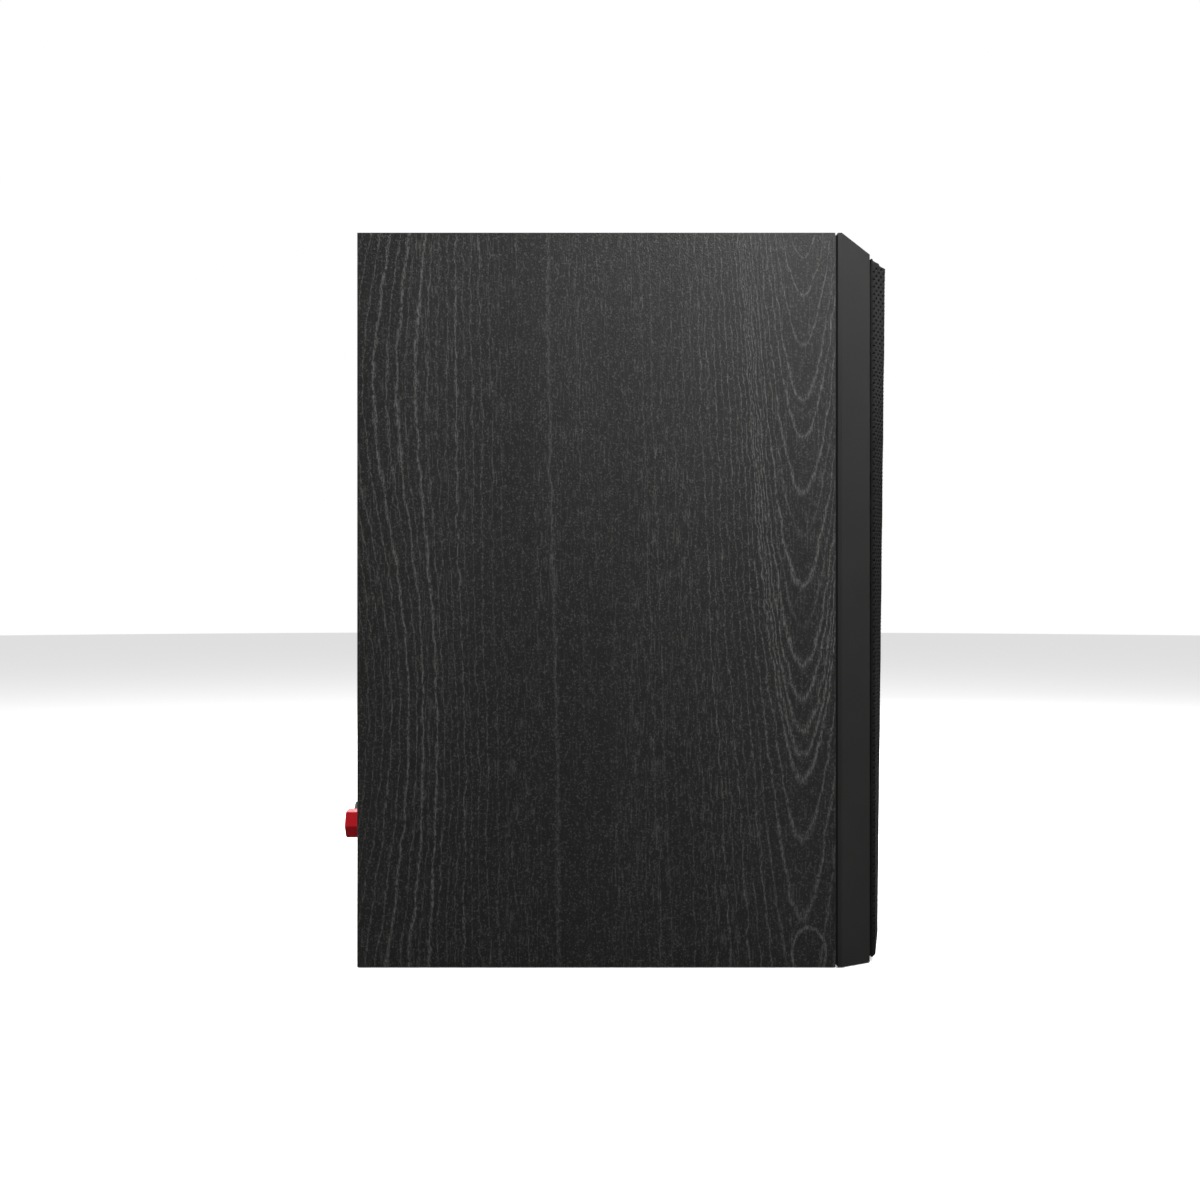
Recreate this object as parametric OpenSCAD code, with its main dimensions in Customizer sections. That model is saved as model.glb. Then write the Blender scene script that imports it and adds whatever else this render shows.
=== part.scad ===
// Two-way bookshelf speaker: wrapped board cabinet, moulded front trim, pull-off grille,
// woofer, dome tweeter, crossover, rear port and two binding posts.
// Millimetres. +Z is up, the front faces -Y, and the origin is under the middle of the whole speaker.

/* [Cabinet] */
// Width of the cabinet
cab_w = 185; // [180:1:226]
// Height of the cabinet
cab_h = 318; // [316:1:390]
// Depth of the wrapped cabinet, without its front trim
cab_d = 207; // [196:1:260]
// Thickness of the side, top and bottom panels
panel_t = 15; // [12:0.5:18]
// Thickness of the baffle board behind the front trim
baffle_t = 15; // [12:0.5:18]
// Thickness of the back panel
back_t = 12; // [9:0.5:15]
// How far the back panel sits inside the rear edges
back_inset = 2; // [0:0.5:4]
// Thickness of the horizontal brace
brace_t = 12; // [9:0.5:15]
// Width of the brace's boards around its window
brace_rim = 24; // [18:1:30]
// Thickness of each wadding pad
wadding_t = 12; // [8:1:13]

/* [Front trim] */
// Width of the shadow gap between cabinet and trim
groove_w = 1.1; // [0.8:0.1:2]
// Depth of the shadow gap
groove_in = 0.9; // [0.6:0.1:1.5]
// Width of the flat strip next to the shadow gap
strip_d = 1.7; // [1:0.1:3]
// Depth of the bevelled part of the trim
bevel_d = 13.7; // [12:0.1:16]
// How far the side bevel runs in
side_bevel = 8; // [4:0.5:8.5]
// How far the top bevel runs down
top_bevel = 7.4; // [4:0.1:8]
// Thickness of the trim under the woofer's flange
seat_t = 5; // [4:0.5:6]
// Depth of the moulding pockets in the back of the trim
pocket_d = 9; // [6:0.5:10]
// Spacing of the ribs between the pockets
rib_pitch = 34; // [28:1:34]
// Thickness of the ribs
rib_t = 2.5; // [2:0.5:4]

/* [Grille] */
// How far the grille's face stands in front of the trim
grille_out = 8.2; // [7.8:0.1:12]
// Gap between the edge of the grille and the trim
grille_gap = 0.7; // [0.4:0.1:1]
// Thickness of the perforated sheet
sheet_t = 0.8; // [0.6:0.1:1]
// Distance from the trim's front edge to the grille's edge
grille_edge = 1.5; // [1:0.1:2]
// Height of the grille's lower edge above the base
grille_low = 2; // [1:0.5:4]
// Thickness of the grille's inner frame
frame_t = 2; // [1.8:0.1:2]
// Width of the frame's bars
frame_bar = 5; // [4:0.5:5]
// Radius of a grille peg
peg_r = 3; // [2.5:0.1:3.5]
// Length of a grille peg
peg_len = 8; // [6:0.5:9]

/* [Woofer] */
// Radius of the woofer's flange
woofer_r = 70; // [66:0.5:70]
// Thickness of the flange
flange_t = 3.5; // [3:0.5:4]
// Height from the base to the lower edge of the woofer's dish
woofer_rise = 42; // [36:1:50]
// Radius of the voice coil former, inside
coil_r = 12.6; // [12.4:0.1:14]
// Depth of the cone from its rim to its neck
cone_h = 24; // [20:1:26]
// Thickness of the woofer's magnet
woofer_magnet_t = 15; // [12:1:20]
// Radius of the woofer's magnet
woofer_magnet_r = 40; // [36:1:48]

/* [Tweeter] */
// Radius of the tweeter's faceplate
tweeter_r = 48; // [46:0.5:50]
// Gap between the woofer's dish and the tweeter's faceplate
driver_gap = 4; // [3:0.5:8]
// Radius of the dome
dome_r = 12.7; // [12:0.1:14]
// Height of the dome
dome_h = 4.8; // [4:0.1:5.5]
// Radius of the tweeter's magnet
tweeter_magnet_r = 33; // [30:0.5:33]

/* [Port and terminals] */
// Inside radius of the port
port_r = 21; // [16:0.5:24]
// Length of the port tube behind its flare
port_len = 80; // [50:1:90]
// Distance from the cabinet's top to the middle of the port
port_drop = 72; // [66:1:76]
// Distance between the two binding posts
post_gap = 23; // [19:0.5:26]
// Height of the binding posts above the base
post_z = 49; // [45:1:55]
// How far the posts stand out behind the cabinet
post_out = 19.5; // [19:0.5:24]
// Radius of the threaded stud
stud_r = 3; // [2.8:0.1:3.4]
// Radius of the plug socket in the stud's end
socket_r = 2; // [1.9:0.05:2.1]
// Depth of the plug socket
socket_len = 10; // [8:0.5:11]
// Size of the hexagonal cap across its flats
cap_flats = 12.6; // [11:0.2:14]
// How far the red cap is turned from level
red_turn = 56; // [0:1:59]
// How far the black cap is turned from level
black_turn = 24; // [0:1:59]

/* [Crossover] */
// Width of the crossover board
board_w = 100; // [90:1:110]
// Depth of the crossover board
board_d = 78; // [70:1:80]
// Thickness of the crossover board
board_t = 1.6; // [1.2:0.2:2]
// Height of the stand-offs under the board
standoff_h = 6; // [4:0.5:8]
// Diameter of the insulated leads
lead_d = 2.4; // [1.6:0.2:2.6]

/* [Fits] */
// Radial clearance of pegs, studs and other running fits
run_fit = 0.05; // [0.02:0.01:0.1]
// Clearance around parts that drop into recesses
drop_fit = 0.5; // [0.3:0.1:0.8]
// Radius of the woofer's screws
screw_r = 2; // [1.75:0.05:2.25]
// Radius of the smaller screws
small_screw_r = 1.6; // [1.4:0.05:1.75]

/* [Hidden] */
$fn = 96;

// How far a cut runs past the face that it starts from
cut = 1;

// Depths along Y. The rear tips of the posts and the face of the grille are equally far from Y = 0.
trim_d = groove_w + strip_d + bevel_d;
total_d = post_out + cab_d + trim_d + grille_out;
y_rear = total_d / 2 - post_out;
y_front = y_rear - cab_d;
y_back_out = y_rear - back_inset;
y_back_in = y_back_out - back_t;
y_baffle_in = y_front + baffle_t;

// The inside of the cabinet
in_w = cab_w - 2 * panel_t;
in_h = cab_h - 2 * panel_t;

// Woofer, measured forwards from the baffle board's front face
woofer_gasket_t = 1;
flange_back = seat_t + woofer_gasket_t;
flange_front = flange_back + flange_t;
dish_rim = 6;
dish_r = woofer_r + dish_rim;
woofer_z = woofer_rise + dish_r;
basket_wall = 2.5;
woofer_hole_r = woofer_r - 11.5;
basket_r = woofer_hole_r - 0.3;
woofer_screw_ring = (woofer_r + woofer_hole_r) / 2 + 0.8;
woofer_screw_len = 16;
woofer_screws_n = 4;
window_count = 6;
window_w = 0.62 * basket_r;

// Surround: a half roll between two flat lands
land_t = 0.8;
ledge_drop = 1.5;
ledge_f = flange_front - ledge_drop;
ledge_r = woofer_r - 8.4;
roll_mid = ledge_r - 8.6;
roll_r = 4.1;
cone_rim_r = roll_mid - roll_r + 0.4;
cone_lip = 2.8;
cone_in = cone_rim_r - cone_lip;
cone_t = 0.8;

// Motor of the woofer
former_t = 0.2;
winding_t = 0.5;
winding_h = 12;
neck_r = coil_r + former_t;
neck_f = ledge_f - cone_h;
spider_f = neck_f - 6;
spider_t = 0.5;
spider_land = 4;
spider_r = 38;
shelf_t = 2.5;
wall_low = spider_r + 1.6;
wall_low_out = wall_low + 2.4;
wall_top_f = 3;
magnet_gap_r = neck_r + winding_t + 0.6;
basket_back = spider_f - 15;
top_plate_t = 5;
top_plate_r = woofer_magnet_r - 4;
back_plate_t = 5;
magnet_f = basket_back - top_plate_t;
yoke_f = magnet_f - woofer_magnet_t;
pole_r = coil_r - 0.4;
vent_r = 5;
former_back = basket_back - top_plate_t - 4.5;
winding_mid = basket_back - top_plate_t / 2;

// Tweeter, measured forwards from the baffle board's front face
face_t = 4;
tweeter_gasket_t = 0.8;
face_back = trim_d - face_t;
plate_back = face_back + tweeter_gasket_t;
tweeter_z = woofer_z + dish_r + driver_gap + tweeter_r;
tweeter_hole_r = tweeter_magnet_r + 4.5;
tweeter_screw_ring = (tweeter_r + tweeter_hole_r) / 2 + 0.4;
tweeter_screw_len = 22;
tweeter_screws_n = 4;
head_sunk = 1.7;
motor_f = trim_d - 10.5;
throat_r = dome_r + 3.7;
mouth_r = tweeter_hole_r + 1;
clamp_r = throat_r + 3.6;
clamp_t = 0.5;
tweeter_plate_t = 4;
tweeter_magnet_t = 10;
tweeter_back_t = 4;
tweeter_pole_r = dome_r - 0.5;
tweeter_vent_r = 4.5;
tweeter_magnet_f = motor_f - tweeter_plate_t;
tweeter_yoke_f = tweeter_magnet_f - tweeter_magnet_t;
chamber_r = tweeter_magnet_r - 4;
chamber_d = 18;
chamber_wall = 1.8;

// Grille, measured forwards from the trim's front face
grille_w = cab_w - 2 * side_bevel - 2 * grille_edge;
grille_top = cab_h - top_bevel - grille_edge;
edge_out = grille_gap + sheet_t;
rim_run = 5;
rim_slope = (grille_out - edge_out) / rim_run;
crease_out = 3;
crest_low = 22;
top_run = 3.2;
low_run = 6;
levels = 14;
frame_in = 1.6;
frame_half = grille_w / 2 - frame_in;
frame_low = grille_low + frame_in;
frame_top = grille_top - frame_in;
peg_in = 7;
peg_boss_r = 6;
rib_inset = 0.6;
peg_x = frame_half - peg_in;
peg_zs = [frame_low + peg_in, woofer_z + dish_r + driver_gap / 2, frame_top - peg_in];
socket_cup_r = peg_r + 1.5;
socket_cup_len = peg_len + 2;
socket_sunk = 0.2;

// Ribs and pockets of the trim
trim_wall = 7;
boss_wall = 3;

// Port, measured inwards from the back panel's outer face
flare_r = 12;
port_flange_r = port_r + flare_r + 5;
port_flange_t = 3;
port_body_r = port_r + flare_r + 2;
port_z = cab_h - port_drop;
spigot_t = 3.5;
spigot_r = port_r + spigot_t;
spigot_len = 18;
port_tube_t = 2.5;

// Binding posts, measured outwards from the terminal plate's outer face
plate_w = 76;
plate_h = 54;
plate_t = 2.5;
plate_corner = 6;
plate_screw_in = 6;
plate_screw_len = 12;
rear_hole_w = 52;
rear_hole_h = 28;
cap_end = post_out + back_inset - plate_t;
collar_h = 3.2;
collar_r = 6.8;
collar_boss_r = stud_r + 1.5;
shoulder_h = 1.2;
shoulder_r = 5.2;
washer_t = 1;
cap_f = collar_h + shoulder_h + washer_t;
cap_roof = 2.7;
stud_end = cap_end - cap_roof - 0.3;
stud_tail = 12;
wire_hole_r = 1.1;
cap_chamfer = 0.4;
plug_ease = 0.6;
lug_t = 0.8;
lug_w = 4.8;
lug_len = 12;
lug_reach = 10;
nut_h = 3.2;
nut_flats = 9;

// Tag strip of the woofer
terminal_f = spider_f + 10;
terminal_gap = 1.52;
terminal_drop = wall_low_out + terminal_gap
    + (basket_r - wall_low_out) * (terminal_f - spider_f) / (wall_top_f - spider_f);
strip_half = 14;
strip_t = 1.6;
strip_len = 9;
tag_w = 4.8;
tag_t = 1.4;
tag_out = 3.5;
tag_back_f = terminal_f - strip_len - tag_out;

// Solder tabs of the tweeter
tab_front_f = motor_f + 3.4;
tab_back_f = motor_f - 4;
tab_w = 3.2;
tab_t = 0.8;
tab_drop = tweeter_magnet_r + 2.2;

// Crossover
board_y = 33;
board_z = panel_t + standoff_h;
board_top = board_z + board_t;
standoff_in = 6;
standoff_r = 3;

// Routes of the leads as [y, z] points for the lead on the +X side, from the part down to the board
input_x = post_gap / 2;
input_route = [
    [y_back_out - lug_t, post_z - lug_reach], [97, post_z - lug_reach], [91, board_top + 15],
    [85, board_top + 12.4], [80, board_top + 9], [75, board_top + 6.4], [70, board_top + 5],
    [67, board_top + 3.8], [66, board_top + 1.8], [66, board_top]
];
woofer_lead_x = 6.5;
woofer_route = [
    [y_front - tag_back_f, woofer_z - terminal_drop - strip_t - tag_t / 2],
    [y_front - tag_back_f + 3, woofer_z - terminal_drop - strip_t - tag_t / 2],
    [-68, 61], [-61, 53], [-52, board_top + 22.4], [-40, board_top + 15.4],
    [-28, board_top + 10.4], [-16, board_top + 7.4], [-6, board_top + 5.9], [0, board_top + 4.8],
    [2.4, board_top + 3.4], [3, board_top + 1.6], [3, board_top]
];
tweeter_lead_x = 4;
tweeter_route = [
    [y_front - tab_back_f, tweeter_z - tab_drop], [-96, tweeter_z - tab_drop],
    [-88, tweeter_z - tab_drop], [-80, tweeter_z - 36], [-70, tweeter_z - 37.5],
    [-60, tweeter_z - 41], [-50, tweeter_z - 48], [-40, tweeter_z - 58],
    [-30, tweeter_z - 72], [-22, tweeter_z - 92], [-16, 130], [-12, 105], [-8, 82],
    [-1, 61], [8, board_top + 23.4], [17, board_top + 12.4], [24, board_top + 6.4],
    [27.4, board_top + 3.8], [28, board_top + 1.6], [28, board_top]
];

// Route of a tinsel lead as [forwards, down from the woofer's middle], from the strip to the cone
tinsel_x = 9;
tinsel_d = 1;
tinsel_drop = 22;
function cone_back(r) = neck_f - cone_t + cone_h * (1 - (1 - (r - neck_r) / (cone_in - neck_r)) ^ 1.25);
tinsel_f = cone_back(norm([tinsel_x, tinsel_drop])) - 0.1;
function tinsel_down(share) = tinsel_drop + share * (terminal_drop - tinsel_drop);
tinsel_route = [
    [terminal_f - 4, terminal_drop], [terminal_f - 4, tinsel_down(0.89)],
    [terminal_f - 3.4, tinsel_down(0.79)], [terminal_f - 2.2, tinsel_down(0.64)],
    [terminal_f - 1.8, tinsel_down(0.46)], [terminal_f - 1.4, tinsel_down(0.29)],
    [tinsel_f - 4.4, tinsel_down(0.16)], [tinsel_f - 2.2, tinsel_down(0.06)],
    [tinsel_f, tinsel_drop]
];

// ---- helpers -------------------------------------------------------------------------------

// Children drawn looking at the front: local X is X, local Y is up, local Z is forwards
module facing_front(x = 0, z = 0, f = 0) {
    translate([x, y_front - f, z]) rotate([90, 0, 0]) children();
}

// Children drawn looking at the back: local Z is outwards from the terminal plate's outer face
module facing_back(x = 0, z = 0, out = 0) {
    translate([x, y_back_out + plate_t + out, z]) rotate([-90, 0, 0]) children();
}

// A ring of copies around local Z
module around(count, radius, start = 45) {
    for (i = [0 : count - 1]) rotate(start + i * 360 / count) translate([radius, 0, 0]) children();
}

module ring(outer, inner, h) {
    difference() {
        cylinder(r = outer, h = h);
        translate([0, 0, -cut]) cylinder(r = inner, h = h + 2 * cut);
    }
}

// A rectangle with round corners, centred
module round_rect(w, h, r) {
    translate([-w / 2 + r, -h / 2]) square([w - 2 * r, h]);
    translate([-w / 2, -h / 2 + r]) square([w, h - 2 * r]);
    for (x = [-1, 1], y = [-1, 1]) translate([x * (w / 2 - r), y * (h / 2 - r)]) circle(r);
}

// A screw along local Z with its head's seat at 0 and a cross recess
module screw(shank_r, length, head_r, head_h) {
    difference() {
        union() {
            cylinder(r = head_r, h = 0.6 * head_h);
            translate([0, 0, 0.6 * head_h]) cylinder(r1 = head_r, r2 = 0.62 * head_r, h = 0.4 * head_h);
            translate([0, 0, -length + shank_r]) cylinder(r = shank_r, h = length - shank_r + 0.1);
            translate([0, 0, -length]) cylinder(r1 = 0.3 * shank_r, r2 = shank_r, h = shank_r);
        }
        for (a = [0, 90]) rotate(a)
            translate([-0.45 * head_r, -0.12 * head_r, 0.45 * head_h])
                cube([0.9 * head_r, 0.24 * head_r, head_h]);
    }
}

// Rings of points along a route that keeps to one X
function lead_ring(x, p, dir, r, sides) =
    let (along = dir / norm(dir))
    [for (i = [0 : sides - 1]) let (a = 360 * i / sides)
        [x + r * cos(a), p[0] + r * sin(a) * -along[1], p[1] + r * sin(a) * along[0]]];

function route_dir(route, i) =
    route[min(i + 1, len(route) - 1)] - route[max(i - 1, 0)];

// A lead of diameter d through [y, z] points at one X
module lead(x, route, d) {
    sides = 8;
    count = len(route);
    points = [for (i = [0 : count - 1]) each lead_ring(x, route[i], route_dir(route, i), d / 2, sides)];
    walls = [
        for (i = [0 : count - 2], j = [0 : sides - 1])
            let (a = i * sides + j, b = i * sides + (j + 1) % sides)
            each [[a, b, b + sides], [a, b + sides, a + sides]]
    ];
    first = [for (j = [0 : sides - 1]) sides - 1 - j];
    last = [for (j = [0 : sides - 1]) (count - 1) * sides + j];
    polyhedron(points = points, faces = concat([first], walls, [last]), convexity = 4);
}

// ---- cabinet -------------------------------------------------------------------------------

// A panel's outline in X and Z, run along the cabinet's depth
module along_depth() {
    translate([0, y_rear, 0]) rotate([90, 0, 0]) linear_extrude(cab_d) children();
}

module side_outline() {
    polygon([
        [-cab_w / 2, 0], [-in_w / 2, panel_t],
        [-in_w / 2, cab_h - panel_t], [-cab_w / 2, cab_h]
    ]);
}

module side_panel_left() {
    color("#3b3938") along_depth() side_outline();
}

module side_panel_right() {
    color("#3b3938") along_depth() mirror([1, 0]) side_outline();
}

module flat_outline() {
    polygon([
        [-cab_w / 2, 0], [cab_w / 2, 0], [in_w / 2, panel_t], [-in_w / 2, panel_t]
    ]);
}

module bottom_panel() {
    color("#34312f") along_depth() flat_outline();
}

module top_panel() {
    color("#45423f") along_depth() translate([0, cab_h]) mirror([0, 1]) flat_outline();
}

module plate_screw_places() {
    for (x = [-1, 1], z = [-1, 1])
        translate([x * (plate_w / 2 - plate_screw_in), z * (plate_h / 2 - plate_screw_in), 0])
            children();
}

module back_panel() {
    color("#2e2b29") difference() {
        translate([-in_w / 2, y_back_in, panel_t]) cube([in_w, back_t, in_h]);
        translate([0, y_back_out + cut, port_z]) rotate([90, 0, 0])
            cylinder(r = port_body_r, h = back_t + 2 * cut);
        translate([0, y_back_out + cut, post_z]) rotate([90, 0, 0])
            linear_extrude(back_t + 2 * cut) round_rect(rear_hole_w, rear_hole_h, plate_corner);
        facing_back(0, post_z, -plate_t) plate_screw_places()
            translate([0, 0, -plate_screw_len]) cylinder(r = small_screw_r, h = plate_screw_len + cut);
    }
}

module baffle_board() {
    color("#7c6347") difference() {
        translate([-in_w / 2, y_front, panel_t]) cube([in_w, baffle_t, in_h]);
        facing_front(0, woofer_z, -baffle_t - cut) cylinder(r = woofer_hole_r, h = baffle_t + 2 * cut);
        facing_front(0, tweeter_z, -baffle_t - cut) cylinder(r = tweeter_hole_r, h = baffle_t + 2 * cut);
        facing_front(0, woofer_z, flange_front - woofer_screw_len)
            around(woofer_screws_n, woofer_screw_ring) cylinder(r = screw_r, h = woofer_screw_len);
        facing_front(0, tweeter_z, trim_d - tweeter_screw_len)
            around(tweeter_screws_n, tweeter_screw_ring) cylinder(r = small_screw_r, h = tweeter_screw_len);
    }
}

brace_mid = (woofer_z + woofer_hole_r + tweeter_z - tweeter_hole_r) / 2;

module cabinet_brace() {
    brace_d = y_back_in - y_baffle_in;
    color("#7c6347") translate([0, y_baffle_in + brace_d / 2, brace_mid - brace_t / 2])
        linear_extrude(brace_t) difference() {
            square([in_w, brace_d], center = true);
            round_rect(in_w - 2 * brace_rim, brace_d - 2 * brace_rim, 12);
        }
}

wadding_gap = 5;
wadding_low = panel_t + wadding_gap;
wadding_top = brace_mid - brace_t / 2 - wadding_gap;

module wadding(side) {
    translate([side * (in_w - wadding_t) / 2, (y_baffle_in + y_back_in) / 2, 0])
        translate([-wadding_t / 2, -(y_back_in - y_baffle_in) / 2 + wadding_gap, wadding_low])
            cube([wadding_t, y_back_in - y_baffle_in - 2 * wadding_gap, wadding_top - wadding_low]);
}

module wadding_left() {
    color("#e4e2dc") wadding(-1);
}

module wadding_right() {
    color("#e4e2dc") wadding(1);
}

// ---- front trim ----------------------------------------------------------------------------

// The trim's edge as [inset, forwards] points for a bevel that runs in by b
function trim_edge(b) = [
    [groove_in, 0], [groove_in, 0.4 * groove_w], [0, groove_w], [0, groove_w + strip_d], [b, trim_d]
];

module trim_block() {
    side = trim_edge(side_bevel);
    plan = concat(
        [for (p = side) [cab_w / 2 - p[0], y_front - p[1]]],
        [for (i = [len(side) - 1 : -1 : 0]) [side[i][0] - cab_w / 2, y_front - side[i][1]]]
    );
    top = trim_edge(top_bevel);
    low = trim_edge(0);
    profile = concat(
        [for (p = top) [y_front - p[1], cab_h - p[0]]],
        [for (i = [len(low) - 1 : -1 : 0]) [y_front - low[i][1], low[i][0]]]
    );
    intersection() {
        linear_extrude(cab_h) polygon(plan);
        rotate([90, 0, 90]) linear_extrude(cab_w, center = true) polygon(profile);
    }
}

module peg_places() {
    for (x = [-1, 1], z = peg_zs) translate([x * peg_x, z, 0]) children();
}

// Moulding pockets between the ribs, seen from the front
module pockets() {
    columns = ceil(cab_w / 2 / rib_pitch);
    rows = ceil(cab_h / rib_pitch);
    difference() {
        translate([-cab_w / 2 + trim_wall, trim_wall])
            square([cab_w - 2 * trim_wall, cab_h - 2 * trim_wall]);
        translate([0, woofer_z]) circle(dish_r + boss_wall);
        translate([0, tweeter_z]) circle(tweeter_r + 2 * boss_wall);
        for (i = [-columns : columns]) translate([i * rib_pitch - rib_t / 2, 0]) square([rib_t, cab_h]);
        for (i = [1 : rows]) translate([-cab_w / 2, i * rib_pitch - rib_t / 2]) square([cab_w, rib_t]);
        peg_places() circle(socket_cup_r + boss_wall);
    }
}

module front_trim() {
    dish_h = trim_d - flange_front;
    color("#3c3b3a") difference() {
        trim_block();
        facing_front(0, 0, -cut) linear_extrude(pocket_d + cut) pockets();
        facing_front(0, woofer_z, -cut) cylinder(r = woofer_hole_r, h = trim_d + 2 * cut);
        facing_front(0, woofer_z, seat_t) cylinder(r = woofer_r + drop_fit, h = trim_d);
        facing_front(0, woofer_z, flange_front) cylinder(
            r1 = woofer_r + drop_fit,
            r2 = woofer_r + drop_fit + (dish_rim - drop_fit) * (dish_h + cut) / dish_h,
            h = dish_h + cut
        );
        facing_front(0, woofer_z, -cut) around(woofer_screws_n, woofer_screw_ring)
            cylinder(r = screw_r, h = trim_d);
        facing_front(0, tweeter_z, -cut) cylinder(r = tweeter_hole_r, h = trim_d + 2 * cut);
        facing_front(0, tweeter_z, face_back) cylinder(r = tweeter_r + drop_fit, h = trim_d);
        facing_front(0, tweeter_z, -cut) around(tweeter_screws_n, tweeter_screw_ring)
            cylinder(r = small_screw_r, h = trim_d);
        facing_front(0, 0, trim_d - socket_cup_len) peg_places()
            cylinder(r = socket_cup_r, h = socket_cup_len + cut);
    }
}

module grille_sockets() {
    color("#1c1c1c") facing_front(0, 0, trim_d - socket_cup_len) peg_places() difference() {
        cylinder(r = socket_cup_r, h = socket_cup_len - socket_sunk);
        translate([0, 0, 1]) cylinder(r = peg_r + run_fit, h = socket_cup_len);
    }
}

// ---- grille --------------------------------------------------------------------------------

// Half of the grille's section at height z, from its edge to the crest, as [inset, forwards] points.
// inset and back move the whole form in and back, for the inside of the sheet.
function grille_half(z, inset, back) =
    let (
        edge = edge_out + (inset > 0 ? inset * rim_slope - inset * sqrt(1 + rim_slope ^ 2) : 0),
        face = grille_out - back,
        crease = crease_out - 1.1 * back,
        t_top = grille_top - inset - z,
        t_low = z - grille_low - inset,
        top_limit = edge + (grille_out - edge_out) / top_run * t_top,
        low_limit = t_low >= low_run ? face : edge + (face - edge) * sin(90 * t_low / low_run),
        out = min(face, top_limit, low_limit),
        crest = rim_run + (crest_low - rim_run) * (grille_top - z) / (grille_top - grille_low) - inset / 2,
        crease_in = (crease - edge) / rim_slope,
        mid = min(crease, (edge + out) / 2),
        out_in = out <= crease ? (out - edge) / rim_slope
            : crease_in + (out - crease) / (face - crease) * (crest - crease_in)
    )
    [[inset, edge], [inset + (mid - edge) / rim_slope, mid], [inset + out_in, out]];

// The grille's outside (inset 0), or its inside, as one solid from the plane "base" forwards
module grille_form(inset, back, base) {
    low = grille_low + inset;
    high = grille_top - inset;
    start = 0.1;
    zs = concat(
        [low + start, low + 1, low + 2.2, low + 3.6, low + low_run],
        [for (i = [1 : levels - 1]) low + low_run + (high - top_run - low - low_run) * i / levels],
        [high - top_run, high - 0.6 * top_run, high - start]
    );
    half_w = grille_w / 2;
    rows = [for (z = zs) let (h = grille_half(z, inset, back)) concat(
        [[half_w - inset, y_front - trim_d - base, z]],
        [for (p = h) [half_w - p[0], y_front - trim_d - p[1], z]],
        [for (i = [len(h) - 1 : -1 : 0]) [h[i][0] - half_w, y_front - trim_d - h[i][1], z]],
        [[inset - half_w, y_front - trim_d - base, z]]
    )];
    n = len(rows[0]);
    points = [for (row = rows) each row];
    walls = [
        for (i = [0 : len(rows) - 2], j = [0 : n - 1])
            let (a = i * n + j, b = i * n + (j + 1) % n)
            each [[a, b, b + n], [a, b + n, a + n]]
    ];
    bottom = [for (j = [0 : n - 1]) n - 1 - j];
    top = [for (j = [0 : n - 1]) (len(rows) - 1) * n + j];
    polyhedron(points = points, faces = concat([bottom], walls, [top]), convexity = 4);
}

module grille_sheet() {
    color("#2e2d2c") difference() {
        grille_form(0, 0, grille_gap);
        grille_form(sheet_t, sheet_t, grille_gap - cut);
    }
}

module grille_frame() {
    w = 2 * frame_half;
    h = frame_top - frame_low;
    bar_z = woofer_z + dish_r;
    color("#1f1f1f") facing_front(0, 0, trim_d) {
        linear_extrude(frame_t) {
            difference() {
                translate([-w / 2, frame_low]) square([w, h]);
                translate([-w / 2 + frame_bar, frame_low + frame_bar])
                    square([w - 2 * frame_bar, h - 2 * frame_bar]);
            }
            translate([-w / 2 + frame_bar - cut, bar_z]) square([w - 2 * frame_bar + 2 * cut, driver_gap]);
            peg_places() circle(peg_boss_r);
        }
        linear_extrude(grille_out - sheet_t)
            translate([-w / 2 + crest_low, bar_z + rib_inset])
                square([w - 2 * crest_low, driver_gap - 2 * rib_inset]);
        peg_places() translate([0, 0, -peg_len]) cylinder(r = peg_r, h = peg_len + frame_t / 2);
    }
}

// ---- woofer --------------------------------------------------------------------------------

module woofer_basket() {
    shelf_in = spider_r - spider_land + 0.3;
    color("#26282a") facing_front(0, woofer_z) difference() {
        rotate_extrude() polygon([
            [woofer_r, flange_back], [woofer_r, flange_front - 0.6], [woofer_r - 0.6, flange_front],
            [ledge_r, flange_front], [ledge_r, ledge_f], [basket_r - basket_wall, ledge_f],
            [basket_r - basket_wall, wall_top_f], [wall_low, spider_f], [shelf_in, spider_f],
            [shelf_in, spider_f - shelf_t], [wall_low - 3.1, spider_f - shelf_t],
            [wall_low - 3.1, basket_back + 3], [magnet_gap_r + 4, basket_back + 3],
            [magnet_gap_r + 4, basket_back], [wall_low - 0.6, basket_back],
            [wall_low - 0.6, spider_f - shelf_t - 1.5], [wall_low_out, spider_f],
            [basket_r, wall_top_f], [basket_r, flange_back]
        ]);
        for (i = [0 : window_count - 1]) rotate(i * 360 / window_count)
            translate([spider_r - 2, -window_w / 2, spider_f + 3])
                cube([basket_r, window_w, -spider_f - 3]);
        translate([0, 0, flange_back - cut]) around(woofer_screws_n, woofer_screw_ring)
            cylinder(r = screw_r, h = flange_t + 2 * cut);
    }
}

module woofer_gasket() {
    color("#18181a") facing_front(0, woofer_z, seat_t) difference() {
        ring(woofer_r, woofer_hole_r + 0.8, woofer_gasket_t);
        translate([0, 0, -cut]) around(woofer_screws_n, woofer_screw_ring)
            cylinder(r = screw_r, h = woofer_gasket_t + 2 * cut);
    }
}

module woofer_top_plate() {
    color("#8c9096") facing_front(0, woofer_z, magnet_f) ring(top_plate_r, magnet_gap_r, top_plate_t);
}

module woofer_magnet() {
    color("#2b2b2e") facing_front(0, woofer_z, yoke_f)
        ring(woofer_magnet_r, magnet_gap_r + 3, woofer_magnet_t);
}

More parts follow.
